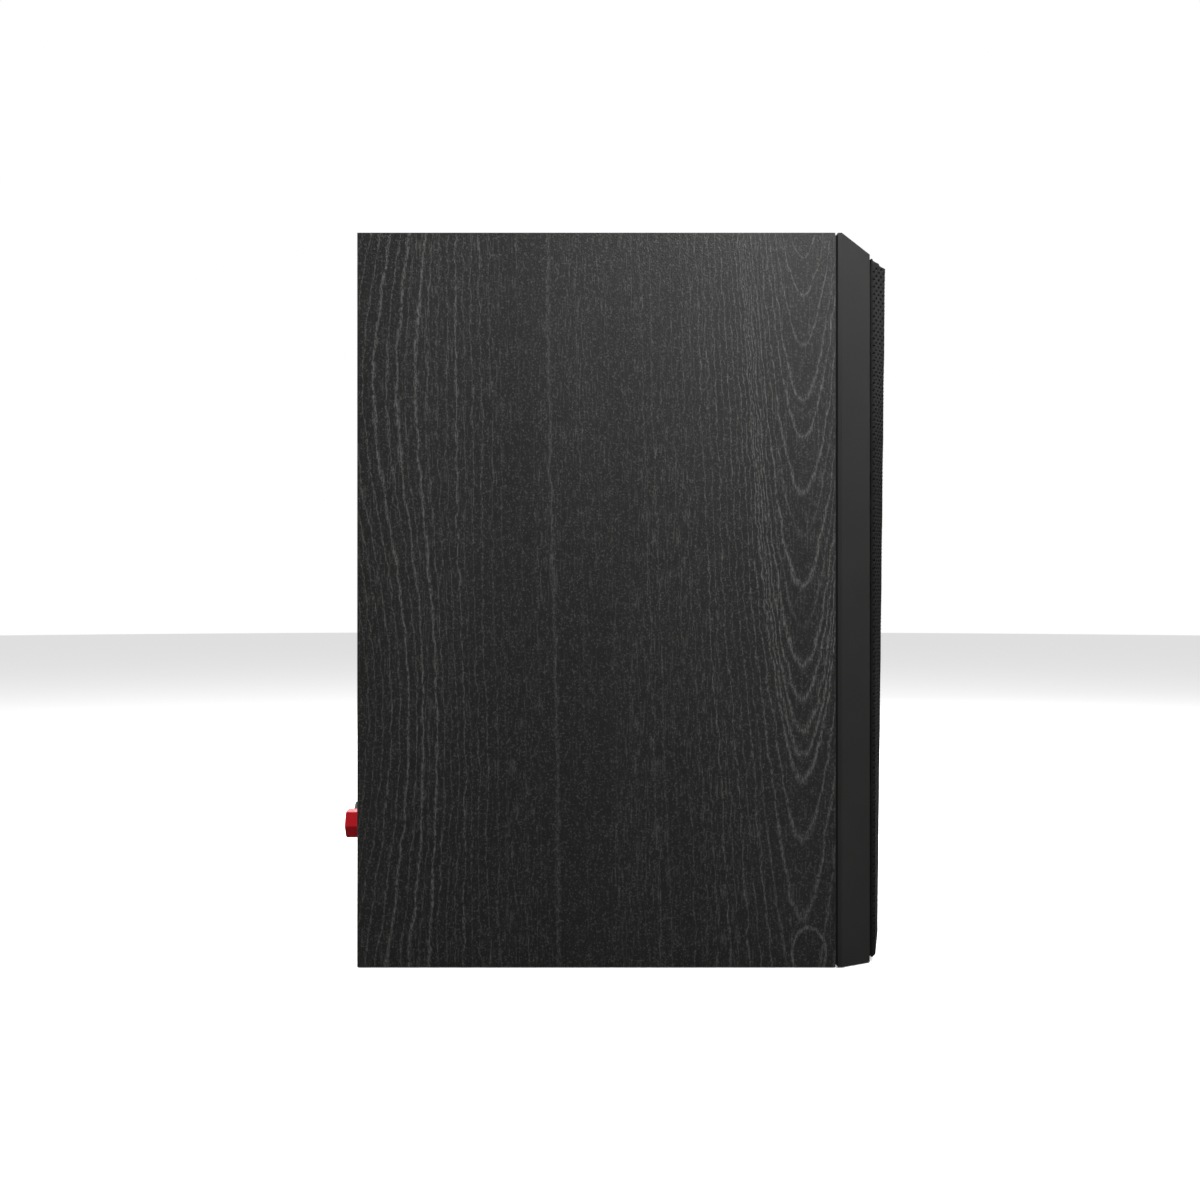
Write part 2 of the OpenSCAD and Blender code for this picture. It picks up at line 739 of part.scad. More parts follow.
module woofer_yoke() {
    color("#8c9096") facing_front(0, woofer_z, yoke_f - back_plate_t) difference() {
        union() {
            cylinder(r = woofer_magnet_r - 3, h = back_plate_t);
            cylinder(r = pole_r, h = basket_back - yoke_f + back_plate_t);
        }
        translate([0, 0, -cut]) cylinder(r = vent_r, h = basket_back - yoke_f + back_plate_t + 2 * cut);
    }
}

// Tag strip on a foot on the lower spoke of the basket, with a tab for each lead
module woofer_terminal() {
    foot_w = 8;
    hole_x = strip_half - 2.5;
    color("#9a7a3a") facing_front(0, woofer_z) difference() {
        union() {
            translate([-strip_half, -terminal_drop - strip_t, terminal_f - strip_len])
                cube([2 * strip_half, strip_t, strip_len]);
            translate([-foot_w / 2, -terminal_drop, terminal_f - strip_len])
                cube([foot_w, terminal_drop - wall_low, strip_len]);
            for (x = [-1, 1])
                translate([x * woofer_lead_x - tag_w / 2, -terminal_drop - strip_t - tag_t, tag_back_f])
                    cube([tag_w, tag_t, strip_len + tag_out - 1.5]);
        }
        translate([0, 0, spider_f]) cylinder(r1 = wall_low_out, r2 = basket_r, h = wall_top_f - spider_f);
        for (x = [-1, 1]) translate([x * hole_x, -terminal_drop + cut, terminal_f - 3])
            rotate([90, 0, 0]) cylinder(r = 1.2, h = strip_t + 2 * cut);
    }
}

module woofer_screws() {
    color("#1a1a1b") facing_front(0, woofer_z, flange_front)
        around(woofer_screws_n, woofer_screw_ring) screw(screw_r, woofer_screw_len, 2 * screw_r, 2.6);
}

module woofer_surround() {
    outer = roll_r + land_t;
    color("#141414") facing_front(0, woofer_z, ledge_f) rotate_extrude() {
        translate([roll_mid, 0]) intersection() {
            difference() {
                circle(outer);
                circle(roll_r);
            }
            translate([-outer, 0]) square([2 * outer, outer]);
        }
        translate([cone_rim_r - cone_lip, 0]) square([roll_mid - roll_r - cone_rim_r + cone_lip, land_t]);
        translate([roll_mid + roll_r, 0]) square([ledge_r - 0.2 - roll_mid - roll_r, land_t]);
    }
}

// Height of the spider's wave at radius r
spider_waves = 3;
function spider_wave(r) =
    1.3 * sin(360 * spider_waves * (r - neck_r) / (spider_r - spider_land - neck_r));

module woofer_spider() {
    steps = 30;
    inner = neck_r;
    outer = spider_r - spider_land;
    rs = [for (i = [0 : steps]) inner + (outer - inner) * i / steps];
    color("#a8842f") facing_front(0, woofer_z, spider_f) rotate_extrude() polygon(concat(
        [for (r = rs) [r, spider_t + spider_wave(r)]],
        [[spider_r, spider_t], [spider_r, 0]],
        [for (i = [steps : -1 : 0]) [rs[i], spider_wave(rs[i])]]
    ));
}

module tinsel_leads() {
    route = [for (p = tinsel_route) [y_front - p[0], woofer_z - p[1]]];
    color("#b87333") for (x = [-1, 1]) lead(x * tinsel_x, route, tinsel_d);
}

// The cone's front face as [r, f], steeper at the neck than at the rim
cone_steps = 10;
function cone_face(t) = [neck_r + (cone_in - neck_r) * t, neck_f + cone_h * (1 - (1 - t) ^ 1.25)];

module woofer_cone() {
    face = [for (i = [0 : cone_steps]) cone_face(i / cone_steps)];
    color("#202124") facing_front(0, woofer_z) rotate_extrude() polygon(concat(
        face,
        [[cone_rim_r, ledge_f], [cone_rim_r, ledge_f - cone_t]],
        [for (i = [cone_steps : -1 : 0]) face[i] - [0, cone_t]]
    ));
}

cap_base_r = 17;
cap_rise = 6;
cap_sphere = (cap_base_r ^ 2 + cap_rise ^ 2) / (2 * cap_rise);
cap_wall = 0.6;
cap_base_t = (cap_base_r - neck_r) / (cone_in - neck_r);

module dust_cap() {
    color("#17181a") facing_front(0, woofer_z, cone_face(cap_base_t)[1]) rotate_extrude() intersection() {
        translate([0, cap_rise - cap_sphere]) difference() {
            circle(cap_sphere);
            circle(cap_sphere - cap_wall);
        }
        square([cap_base_r, cap_rise + cut]);
    }
}

module woofer_former() {
    color("#c9a227") facing_front(0, woofer_z, former_back)
        ring(neck_r, coil_r, neck_f + 0.9 - former_back);
}

module woofer_winding() {
    color("#b5652a") facing_front(0, woofer_z, winding_mid - winding_h / 2)
        ring(neck_r + winding_t, neck_r, winding_h);
}

// ---- tweeter -------------------------------------------------------------------------------

// The waveguide's face from mouth to throat as [r, f]
guide_steps = 10;
guide_throat_f = motor_f + 3.4;
function guide_face(t) = [
    throat_r + (mouth_r - throat_r) * (1 - t),
    guide_throat_f + (trim_d - guide_throat_f) * (1 - t) ^ 0.62
];

module tweeter_faceplate() {
    color("#1d1e20") facing_front(0, tweeter_z) difference() {
        rotate_extrude() polygon(concat(
            [[tweeter_r, plate_back], [tweeter_r, trim_d - 0.4], [tweeter_r - 0.4, trim_d]],
            [for (i = [0 : guide_steps]) guide_face(i / guide_steps)],
            [
                [throat_r, motor_f + clamp_t], [clamp_r + 0.1, motor_f + clamp_t],
                [clamp_r + 0.1, motor_f], [tweeter_magnet_r - 1, motor_f],
                [tweeter_magnet_r - 1, tab_front_f], [tweeter_hole_r - 1, tab_front_f],
                [tweeter_hole_r - 1, plate_back]
            ]
        ));
        translate([0, 0, plate_back - cut]) around(tweeter_screws_n, tweeter_screw_ring)
            cylinder(r = small_screw_r, h = face_t + 2 * cut);
        translate([0, 0, trim_d - head_sunk]) around(tweeter_screws_n, tweeter_screw_ring)
            cylinder(r = 2 * small_screw_r + 0.3, h = face_t);
    }
}

module tweeter_gasket() {
    color("#18181a") facing_front(0, tweeter_z, face_back) difference() {
        ring(tweeter_r, tweeter_hole_r + 0.5, tweeter_gasket_t);
        translate([0, 0, -cut]) around(tweeter_screws_n, tweeter_screw_ring)
            cylinder(r = small_screw_r, h = tweeter_gasket_t + 2 * cut);
    }
}

module tweeter_top_plate() {
    color("#8c9096") facing_front(0, tweeter_z, tweeter_magnet_f)
        ring(tweeter_magnet_r - 2, dome_r + 0.9, tweeter_plate_t);
}

module tweeter_magnet() {
    color("#2b2b2e") facing_front(0, tweeter_z, tweeter_yoke_f)
        ring(tweeter_magnet_r, dome_r + 3.5, tweeter_magnet_t);
}

module tweeter_yoke() {
    h = motor_f - tweeter_yoke_f + tweeter_back_t;
    color("#8c9096") facing_front(0, tweeter_z, tweeter_yoke_f - tweeter_back_t) difference() {
        union() {
            cylinder(r = tweeter_magnet_r - 2, h = tweeter_back_t);
            cylinder(r = tweeter_pole_r, h = h);
        }
        translate([0, 0, -cut]) cylinder(r = tweeter_vent_r, h = h + 2 * cut);
    }
}

module tweeter_chamber() {
    color("#232427") facing_front(0, tweeter_z, tweeter_yoke_f - tweeter_back_t - chamber_d) difference() {
        union() {
            translate([0, 0, 3]) cylinder(r = chamber_r, h = chamber_d - 3);
            cylinder(r1 = chamber_r - 3, r2 = chamber_r, h = 3);
        }
        translate([0, 0, 2 * chamber_wall]) cylinder(r = chamber_r - 2 * chamber_wall, h = chamber_d);
    }
}

module tweeter_screws() {
    color("#1a1a1b") facing_front(0, tweeter_z, trim_d - head_sunk)
        around(tweeter_screws_n, tweeter_screw_ring)
            screw(small_screw_r, tweeter_screw_len - head_sunk, 2 * small_screw_r, head_sunk - 0.1);
}

// Two solder tabs that stand backwards from the faceplate's boss, under the magnet
module tweeter_tabs() {
    color("#c8a860") for (x = [-1, 1])
        translate([x * tweeter_lead_x - tab_w / 2, y_front - tab_front_f, tweeter_z - tab_drop - tab_t / 2])
            cube([tab_w, tab_front_f - tab_back_f, tab_t]);
}

module tweeter_surround() {
    roll = 1.6;
    wall = 0.35;
    mid = dome_r + 0.1 + roll;
    color("#2a2622") facing_front(0, tweeter_z, motor_f) rotate_extrude() {
        translate([mid, 1.2]) intersection() {
            difference() {
                circle(roll);
                circle(roll - wall);
            }
            translate([-roll, 0]) square([2 * roll, roll]);
        }
        translate([mid + roll - wall, 0]) square([wall, 1.2]);
        translate([mid + roll - wall, 0]) square([clamp_r - mid - roll + wall, clamp_t]);
    }
}

tweeter_dome_f = motor_f + 1.2;
dome_sphere = (dome_r ^ 2 + dome_h ^ 2) / (2 * dome_h);
dome_wall = 0.35;

module tweeter_dome() {
    color("#332c26") facing_front(0, tweeter_z, tweeter_dome_f) rotate_extrude() intersection() {
        translate([0, dome_h - dome_sphere]) difference() {
            circle(dome_sphere);
            circle(dome_sphere - dome_wall);
        }
        square([dome_r, dome_h + cut]);
    }
}

module tweeter_coil() {
    color("#b5652a") facing_front(0, tweeter_z, motor_f - tweeter_plate_t - 0.6)
        ring(dome_r + 0.1, dome_r - 0.3, tweeter_plate_t + 0.6 + 1.2);
}

// ---- port ----------------------------------------------------------------------------------

module port_flare() {
    steps = 12;
    arc = [for (i = [0 : steps]) let (a = 90 * i / steps)
        [port_r + flare_r * (1 - sin(a)), flare_r * (1 - cos(a))]];
    flange = port_flange_t;
    color("#1b1b1c") translate([0, y_back_out + flange, port_z]) rotate([90, 0, 0]) rotate_extrude()
        polygon(concat(
            arc,
            [
                [port_r, flare_r + spigot_len], [spigot_r, flare_r + spigot_len],
                [spigot_r, flare_r + spigot_t], [port_body_r, flange + 2], [port_body_r, flange],
                [port_flange_r, flange], [port_flange_r, 1], [port_flange_r - 1, 0]
            ]
        ));
}

module port_tube() {
    start = flare_r + spigot_t - port_flange_t;
    color("#3a3029") translate([0, y_back_out - start - 0.5, port_z]) rotate([90, 0, 0])
        ring(spigot_r + port_tube_t, spigot_r, port_len);
}

// ---- terminals -----------------------------------------------------------------------------

module post_places() {
    for (x = [-1, 1]) translate([x * post_gap / 2, 0, 0]) children();
}

module terminal_plate() {
    color("#1d1d1e") facing_back(0, post_z, -plate_t) difference() {
        linear_extrude(plate_t) round_rect(plate_w, plate_h, plate_corner);
        translate([0, 0, -cut]) {
            post_places() cylinder(r = collar_boss_r, h = plate_t + 2 * cut);
            plate_screw_places() cylinder(r = small_screw_r, h = plate_t + 2 * cut);
        }
    }
}

module terminal_screws() {
    color("#2a2a2a") facing_back(0, post_z) plate_screw_places()
        screw(small_screw_r, plate_screw_len, 2 * small_screw_r, 1.8);
}

module post_studs() {
    color("#d4b15a") facing_back(0, post_z) post_places() difference() {
        union() {
            translate([0, 0, -stud_tail]) cylinder(r = stud_r, h = stud_end + stud_tail);
            translate([0, 0, collar_h]) cylinder(r = shoulder_r, h = shoulder_h);
        }
        translate([0, 0, stud_end - socket_len]) cylinder(r = socket_r, h = socket_len + cut);
        translate([0, -stud_r - cut, cap_f + wire_hole_r]) rotate([-90, 0, 0])
            cylinder(r = wire_hole_r, h = 2 * stud_r + 2 * cut, $fn = 24);
    }
}

module collar() {
    facing_back(0, post_z) difference() {
        union() {
            cylinder(r = collar_r, h = collar_h);
            translate([0, 0, -plate_t]) cylinder(r = collar_boss_r, h = plate_t + cut);
        }
        translate([0, 0, -plate_t - cut]) cylinder(r = stud_r, h = plate_t + collar_h + 2 * cut);
    }
}

module clamp_washer() {
    facing_back(0, post_z, collar_h + shoulder_h) ring(shoulder_r, stud_r + run_fit, washer_t);
}

// A hexagonal cap with its threaded bore, and a way in for a plug through its end
module post_cap(turn) {
    corner_r = cap_flats / sqrt(3);
    length = cap_end - cap_f;
    facing_back(0, post_z, cap_f) difference() {
        intersection() {
            rotate(turn) cylinder(r = corner_r, h = length, $fn = 6);
            union() {
                cylinder(r = corner_r + 0.1, h = length - cap_chamfer);
                translate([0, 0, length - cap_chamfer])
                    cylinder(r1 = corner_r, r2 = corner_r - cap_chamfer, h = cap_chamfer);
            }
        }
        translate([0, 0, -cut]) cylinder(r = stud_r + run_fit, h = length - cap_roof + cut);
        cylinder(r = socket_r + plug_ease, h = length + cut);
    }
}

module red_collar() {
    color("#9a1420") translate([-post_gap / 2, 0, 0]) collar();
}

module black_collar() {
    color("#161616") translate([post_gap / 2, 0, 0]) collar();
}

module red_washer() {
    color("#d4b15a") translate([-post_gap / 2, 0, 0]) clamp_washer();
}

module black_washer() {
    color("#d4b15a") translate([post_gap / 2, 0, 0]) clamp_washer();
}

module red_cap() {
    color("#b61e2a") translate([-post_gap / 2, 0, 0]) post_cap(red_turn);
}

module black_cap() {
    color("#161616") translate([post_gap / 2, 0, 0]) post_cap(black_turn);
}

module stud_nuts() {
    color("#c9b27a") facing_back(0, post_z, -plate_t - lug_t - nut_h) post_places() difference() {
        cylinder(r = nut_flats / sqrt(3), h = nut_h, $fn = 6);
        translate([0, 0, -cut]) cylinder(r = stud_r, h = nut_h + 2 * cut);
    }
}

module solder_lugs() {
    color("#c9b27a") facing_back(0, post_z, -plate_t - lug_t) post_places() difference() {
        union() {
            cylinder(r = lug_w, h = lug_t);
            translate([-lug_w / 2, 0, 0]) cube([lug_w, lug_len, lug_t]);
        }
        translate([0, 0, -cut]) cylinder(r = stud_r, h = lug_t + 2 * cut);
    }
}

// ---- crossover -----------------------------------------------------------------------------

module standoff_places() {
    for (x = [-1, 1], y = [-1, 1])
        translate([x * (board_w / 2 - standoff_in), board_y + y * (board_d / 2 - standoff_in), 0])
            children();
}

module crossover_board() {
    color("#3f6b3a") difference() {
        translate([-board_w / 2, board_y - board_d / 2, board_z]) cube([board_w, board_d, board_t]);
        standoff_places() translate([0, 0, board_z - cut]) cylinder(r = 1.6, h = board_t + 2 * cut);
    }
}

module board_standoffs() {
    color("#d8d4c8") standoff_places() {
        translate([0, 0, panel_t]) cylinder(r = standoff_r, h = standoff_h);
        translate([0, 0, board_z]) cylinder(r = 1.6, h = board_t);
        translate([0, 0, board_top]) cylinder(r1 = 2.3, r2 = 1.1, h = 2);
    }
}

// Middles of the parts on the board, as [x, y] from the board's middle
woofer_coil_at = [-27, -12];
woofer_coil_r = 19;
woofer_coil_h = 22;
tweeter_coil_at = [33.5, -18];
tweeter_coil_r = 12;
tweeter_coil_h = 13;
capacitor_at = [[-26, 22], [34, 16]];
capacitor_r = [8, 7];
capacitor_len = 30;
resistor_at = [[14, -20], [0, 14]];
resistor_w = 9;
resistor_len = 24;
resistor_h = 8;

module on_board(at) {
    translate([at[0], board_y + at[1], board_top]) children();
}

module woofer_inductor() {
    color("#b5652a") on_board(woofer_coil_at) ring(woofer_coil_r, 0.47 * woofer_coil_r, woofer_coil_h);
}

module tweeter_inductor() {
    color("#b5652a") on_board(tweeter_coil_at) ring(tweeter_coil_r, 0.5 * tweeter_coil_r, tweeter_coil_h);
}

module capacitors() {
    color("#27364f") for (i = [0, 1]) on_board(capacitor_at[i])
        translate([-capacitor_len / 2, 0, capacitor_r[i]]) rotate([0, 90, 0])
            cylinder(r = capacitor_r[i], h = capacitor_len);
}

module resistors() {
    color("#e2ddd0") for (at = resistor_at) on_board(at)
        translate([-resistor_w / 2, -resistor_len / 2, 0]) cube([resistor_w, resistor_len, resistor_h]);
}

// ---- leads ---------------------------------------------------------------------------------

module input_leads() {
    color("#a03028") for (x = [-1, 1]) lead(x * input_x, input_route, lead_d);
}

module woofer_leads() {
    color("#a03028") for (x = [-1, 1]) lead(x * woofer_lead_x, woofer_route, lead_d);
}

module tweeter_leads() {
    color("#2d4f8a") for (x = [-1, 1]) lead(x * tweeter_lead_x, tweeter_route, lead_d);
}

side_panel_left();
side_panel_right();
top_panel();
bottom_panel();
back_panel();
baffle_board();
cabinet_brace();
wadding_left();
wadding_right();
front_trim();
grille_sockets();
grille_frame();
grille_sheet();
woofer_basket();
woofer_gasket();
woofer_top_plate();
woofer_magnet();
woofer_yoke();
woofer_terminal();
woofer_screws();
woofer_surround();
woofer_spider();
tinsel_leads();
woofer_cone();
dust_cap();
woofer_former();
woofer_winding();
tweeter_faceplate();
tweeter_gasket();
tweeter_top_plate();
tweeter_magnet();
tweeter_yoke();
tweeter_chamber();
tweeter_screws();
tweeter_tabs();
tweeter_surround();
tweeter_dome();
tweeter_coil();
port_flare();
port_tube();
terminal_plate();
terminal_screws();
post_studs();
red_collar();
black_collar();
red_washer();
black_washer();
red_cap();
black_cap();
stud_nuts();
solder_lugs();
crossover_board();
board_standoffs();
woofer_inductor();
tweeter_inductor();
capacitors();
resistors();
input_leads();
woofer_leads();
tweeter_leads();
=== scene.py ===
"""Bookshelf speaker: finishes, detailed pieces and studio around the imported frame."""
import logging
import math
from dataclasses import dataclass, field
from enum import Enum
from typing import Callable, Iterable, Sequence

import bpy
import numpy as np
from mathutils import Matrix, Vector


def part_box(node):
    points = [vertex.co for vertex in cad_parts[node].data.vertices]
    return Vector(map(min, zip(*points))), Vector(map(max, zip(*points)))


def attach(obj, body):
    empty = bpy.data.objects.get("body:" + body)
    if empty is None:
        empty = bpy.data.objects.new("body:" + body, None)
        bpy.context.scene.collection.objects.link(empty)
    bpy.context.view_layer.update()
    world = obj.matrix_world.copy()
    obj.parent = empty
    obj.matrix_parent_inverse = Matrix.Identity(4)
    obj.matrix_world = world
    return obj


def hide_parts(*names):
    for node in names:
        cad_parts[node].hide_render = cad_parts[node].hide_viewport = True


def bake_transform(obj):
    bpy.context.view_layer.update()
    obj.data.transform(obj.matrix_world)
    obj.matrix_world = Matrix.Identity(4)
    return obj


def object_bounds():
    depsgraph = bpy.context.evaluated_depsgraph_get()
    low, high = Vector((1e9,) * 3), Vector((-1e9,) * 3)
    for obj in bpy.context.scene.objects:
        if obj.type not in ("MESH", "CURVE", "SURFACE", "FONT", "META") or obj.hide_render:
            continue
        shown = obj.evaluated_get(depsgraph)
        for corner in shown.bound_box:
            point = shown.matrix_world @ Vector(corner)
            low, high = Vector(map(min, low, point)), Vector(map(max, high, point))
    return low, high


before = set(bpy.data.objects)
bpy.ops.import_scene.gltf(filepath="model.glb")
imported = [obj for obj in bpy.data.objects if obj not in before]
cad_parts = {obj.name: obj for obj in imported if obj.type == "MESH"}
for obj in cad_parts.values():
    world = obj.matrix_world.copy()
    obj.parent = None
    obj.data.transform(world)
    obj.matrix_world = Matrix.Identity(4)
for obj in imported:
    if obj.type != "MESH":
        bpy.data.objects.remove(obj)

CAD_BOX = [[float(v) for v in corner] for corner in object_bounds()]
MM = 0.001
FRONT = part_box("baffle_board")[0].y / MM
LOG = logging.getLogger("speaker")

Point = tuple[float, float, float]
Colour = tuple[float, float, float]
Section = list[tuple[float, float]]
Skin = list[tuple[int, ...]]
Socket = bpy.types.NodeSocket
Inlet = Callable[[str], Socket]
Outlet = Callable[[str, object], None]
VALUE, VECTOR = "NodeSocketFloat", "NodeSocketVector"


# ---- node helpers ----------------------------------------------------------------------------


class NodeBench:
    """Places and joins shader nodes in one node tree."""

    def __init__(self, tree: bpy.types.NodeTree) -> None:
        """Keeps the tree and starts a new row of nodes."""
        self.tree = tree
        self.column = 0

    def add(self, kind: str, **settings: object) -> bpy.types.Node:
        """Adds a node and sets its properties.

        Args:
            kind: The node's type name without its ShaderNode prefix.
            settings: Properties of the node by name.

        Returns:
            The new node.
        """
        name = kind if kind.startswith("Node") else "ShaderNode" + kind
        node = self.tree.nodes.new(name)
        node.location = (180 * self.column, -40 * (self.column % 7))
        self.column += 1
        for key, value in settings.items():
            setattr(node, key, value)
        return node

    def feed(self, socket: Socket, value: object) -> None:
        """Joins a socket to another node's output, or sets its own value.

        Args:
            socket: The input to feed.
            value: A socket, a number or a tuple.
        """
        if isinstance(value, Socket):
            self.tree.links.new(value, socket)
        elif isinstance(value, tuple) and len(value) == 3 and len(socket.default_value) == 4:
            socket.default_value = (*value, 1.0)
        else:
            socket.default_value = value

    def math(self, operation: str, *values: object, clamp: bool = False) -> Socket:
        """A Math node on up to three values.

        Args:
            operation: The Math node's operation.
            values: Sockets or numbers for its inputs.
            clamp: Whether the result is kept from 0 to 1.

        Returns:
            The node's output.
        """
        node = self.add("Math", operation=operation, use_clamp=clamp)
        for slot, value in zip(node.inputs, values):
            self.feed(slot, value)
        return node.outputs[0]

    def remap(self, value: object, low: float, high: float, to_low: float = 0.0,
              to_high: float = 1.0, smooth: bool = True) -> Socket:
        """Maps a value from low..high to to_low..to_high with its ends held.

        Args:
            value: The socket to map.
            low: Value that gives to_low.
            high: Value that gives to_high.
            to_low: Result at low.
            to_high: Result at high.
            smooth: Whether the passage is an S curve.

        Returns:
            The mapped output.
        """
        node = self.add("MapRange", clamp=True)
        node.interpolation_type = "SMOOTHSTEP" if smooth else "LINEAR"
        for slot, item in zip(node.inputs, (value, low, high, to_low, to_high)):
            self.feed(slot, item)
        return node.outputs[0]

    def noise(self, vector: object, scale: object, detail: float = 2.0,
              roughness: float = 0.5) -> Socket:
        """A Noise texture's value.

        Args:
            vector: Where to sample.
            scale: Features per metre.
            detail: Octaves.
            roughness: Share of each finer octave.

        Returns:
            The value output, about 0.5 on average.
        """
        node = self.add("TexNoise")
        self.feed(node.inputs["Vector"], vector)
        self.feed(node.inputs["Scale"], scale)
        node.inputs["Detail"].default_value = detail
        node.inputs["Roughness"].default_value = roughness
        return node.outputs[0]

    def vector(self, x: object = 0.0, y: object = 0.0, z: object = 0.0) -> Socket:
        """A vector from three values.

        Args:
            x: Socket or number.
            y: Socket or number.
            z: Socket or number.

        Returns:
            The vector output.
        """
        node = self.add("CombineXYZ")
        for slot, value in zip(node.inputs, (x, y, z)):
            self.feed(slot, value)
        return node.outputs[0]

    def split(self, vector: object) -> list[Socket]:
        """The X, Y and Z of a vector.

        Args:
            vector: The vector to take apart.

        Returns:
            Its three outputs.
        """
        node = self.add("SeparateXYZ")
        self.feed(node.inputs[0], vector)
        return list(node.outputs)

    def stretched(self, vector: object, factors: Point) -> Socket:
        """A vector multiplied axis by axis.

        Args:
            vector: The vector to stretch.
            factors: What each axis is multiplied by.

        Returns:
            The stretched vector.
        """
        node = self.add("VectorMath", operation="MULTIPLY")
        self.feed(node.inputs[0], vector)
        node.inputs[1].default_value = factors
        return node.outputs[0]

    def blend(self, share: object, first: object, second: object) -> Socket:
        """A colour between two colours.

        Args:
            share: 0 gives the first colour and 1 the second.
            first: Colour or socket.
            second: Colour or socket.

        Returns:
            The mixed colour.
        """
        node = self.add("Mix", data_type="RGBA")
        self.feed(node.inputs[0], share)
        self.feed(node.inputs[6], first)
        self.feed(node.inputs[7], second)
        return node.outputs[2]

    def between(self, share: object, first: object, second: object) -> Socket:
        """A number between two numbers.

        Args:
            share: 0 gives the first number and 1 the second.
            first: Number or socket.
            second: Number or socket.

        Returns:
            The number.
        """
        node = self.add("Mix", data_type="FLOAT")
        self.feed(node.inputs[0], share)
        self.feed(node.inputs[2], first)
        self.feed(node.inputs[3], second)
        return node.outputs[0]


class Effect:
    """A shared effect: a shader node group that is built once and placed in many materials."""

    name = "effect"
    inlets: tuple[tuple[str, str, float], ...] = ()
    outlets: tuple[tuple[str, str], ...] = ()
    _built: dict[str, bpy.types.NodeTree] = {}

    def build(self, bench: NodeBench, inlet: Inlet, outlet: Outlet) -> None:
        """Makes the group's inside; each effect gives its own."""
        raise NotImplementedError

    def tree(self) -> bpy.types.NodeTree:
        """The node group, built on first use.

        Returns:
            The group's node tree.
        """
        if self.name not in Effect._built:
            group = bpy.data.node_groups.new(self.name, "ShaderNodeTree")
            for name, kind, default in self.inlets:
                socket = group.interface.new_socket(name, in_out="INPUT", socket_type=kind)
                if kind == "NodeSocketFloat":
                    socket.default_value = default
            for name, kind in self.outlets:
                group.interface.new_socket(name, in_out="OUTPUT", socket_type=kind)
            bench = NodeBench(group)
            entry, end = bench.add("NodeGroupInput"), bench.add("NodeGroupOutput")
            self.build(bench, lambda name: entry.outputs[name],
                       lambda name, value: bench.feed(end.inputs[name], value))
            Effect._built[self.name] = group
        return Effect._built[self.name]

    def place(self, bench: NodeBench, **values: object) -> Inlet:
        """Puts the effect in a material.

        Args:
            bench: The material's node bench.
            values: Inputs by name, with _ for a space.

        Returns:
            A function that gives an output by name.
        """
        node = bench.add("Group")
        node.node_tree = self.tree()
        for key, value in values.items():
            bench.feed(node.inputs[key.replace("_", " ")], value)
        return lambda name: node.outputs[name]


class Stipple(Effect):
    """Fine moulded or embossed grain: a height and a mask of its high spots."""

    name = "stipple"
    inlets = (("Vector", VECTOR, 0.0), ("Scale", VALUE, 900.0), ("Patches", VALUE, 30.0))
    outlets = (("Height", VALUE), ("Mask", VALUE))

    def build(self, bench: NodeBench, inlet: Inlet, outlet: Outlet) -> None:
        """Cells and noise, weaker in some patches.

        Args:
            bench: The group's bench.
            inlet: Gives an input of the group by its name.
            outlet: Joins a value to an output by its name.
        """
        grain = bench.noise(inlet("Vector"), inlet("Scale"), 3.0, 0.6)
        patch = bench.noise(inlet("Vector"), inlet("Patches"), 2.0)
        depth = bench.remap(patch, 0.3, 0.7, 0.6, 1.0)
        height = bench.math("MULTIPLY", bench.math("SUBTRACT", grain, 0.5), depth)
        outlet("Height", bench.math("ADD", height, 0.5))
        outlet("Mask", bench.remap(grain, 0.52, 0.68))


class Dust(Effect):
    """A thin film of dust that lies on faces that look up."""

    name = "dust_film"
    inlets = (("Vector", VECTOR, 0.0), ("Amount", VALUE, 0.5))
    outlets = (("Mask", VALUE),)

    def build(self, bench: NodeBench, inlet: Inlet, outlet: Outlet) -> None:
        """Upward faces times a patchy noise.

        Args:
            bench: The group's bench.
            inlet: Gives an input of the group by its name.
            outlet: Joins a value to an output by its name.
        """
        up = bench.split(bench.add("NewGeometry").outputs["Normal"])[2]
        lie = bench.remap(up, 0.35, 1.0)
        patches = bench.remap(bench.noise(inlet("Vector"), 55.0, 6.0, 0.7), 0.35, 0.75)
        film = bench.math("MULTIPLY", lie, patches)
        outlet("Mask", bench.math("MULTIPLY", film, inlet("Amount")))


class EdgeWear(Effect):
    """Where a finish is rubbed thin along its edges."""

    name = "edge_wear"
    inlets = (("Vector", VECTOR, 0.0), ("Amount", VALUE, 0.5))
    outlets = (("Mask", VALUE),)

    def build(self, bench: NodeBench, inlet: Inlet, outlet: Outlet) -> None:
        """Sharp corners, broken up by noise.

        Args:
            bench: The group's bench.
            inlet: Gives an input of the group by its name.
            outlet: Joins a value to an output by its name.
        """
        corner = bench.remap(bench.add("NewGeometry").outputs["Pointiness"], 0.52, 0.62)
        broken = bench.remap(bench.noise(inlet("Vector"), 220.0, 5.0, 0.7), 0.4, 0.62)
        rubbed = bench.math("MULTIPLY", corner, broken)
        outlet("Mask", bench.math("MULTIPLY", rubbed, inlet("Amount")))


class Brushing(Effect):
    """Long fine scratches along one axis."""

    name = "brushing"
    inlets = (("Vector", VECTOR, 0.0), ("Scale", VALUE, 400.0))
    outlets = (("Height", VALUE), ("Mask", VALUE))

    def build(self, bench: NodeBench, inlet: Inlet, outlet: Outlet) -> None:
        """Noise drawn out along the vector's Z.

        Args:
            bench: The group's bench.
            inlet: Gives an input of the group by its name.
            outlet: Joins a value to an output by its name.
        """
        drawn = bench.stretched(inlet("Vector"), (1.0, 1.0, 0.03))
        lines = bench.noise(drawn, inlet("Scale"), 4.0, 0.65)
        outlet("Height", lines)
        outlet("Mask", bench.remap(lines, 0.4, 0.65))


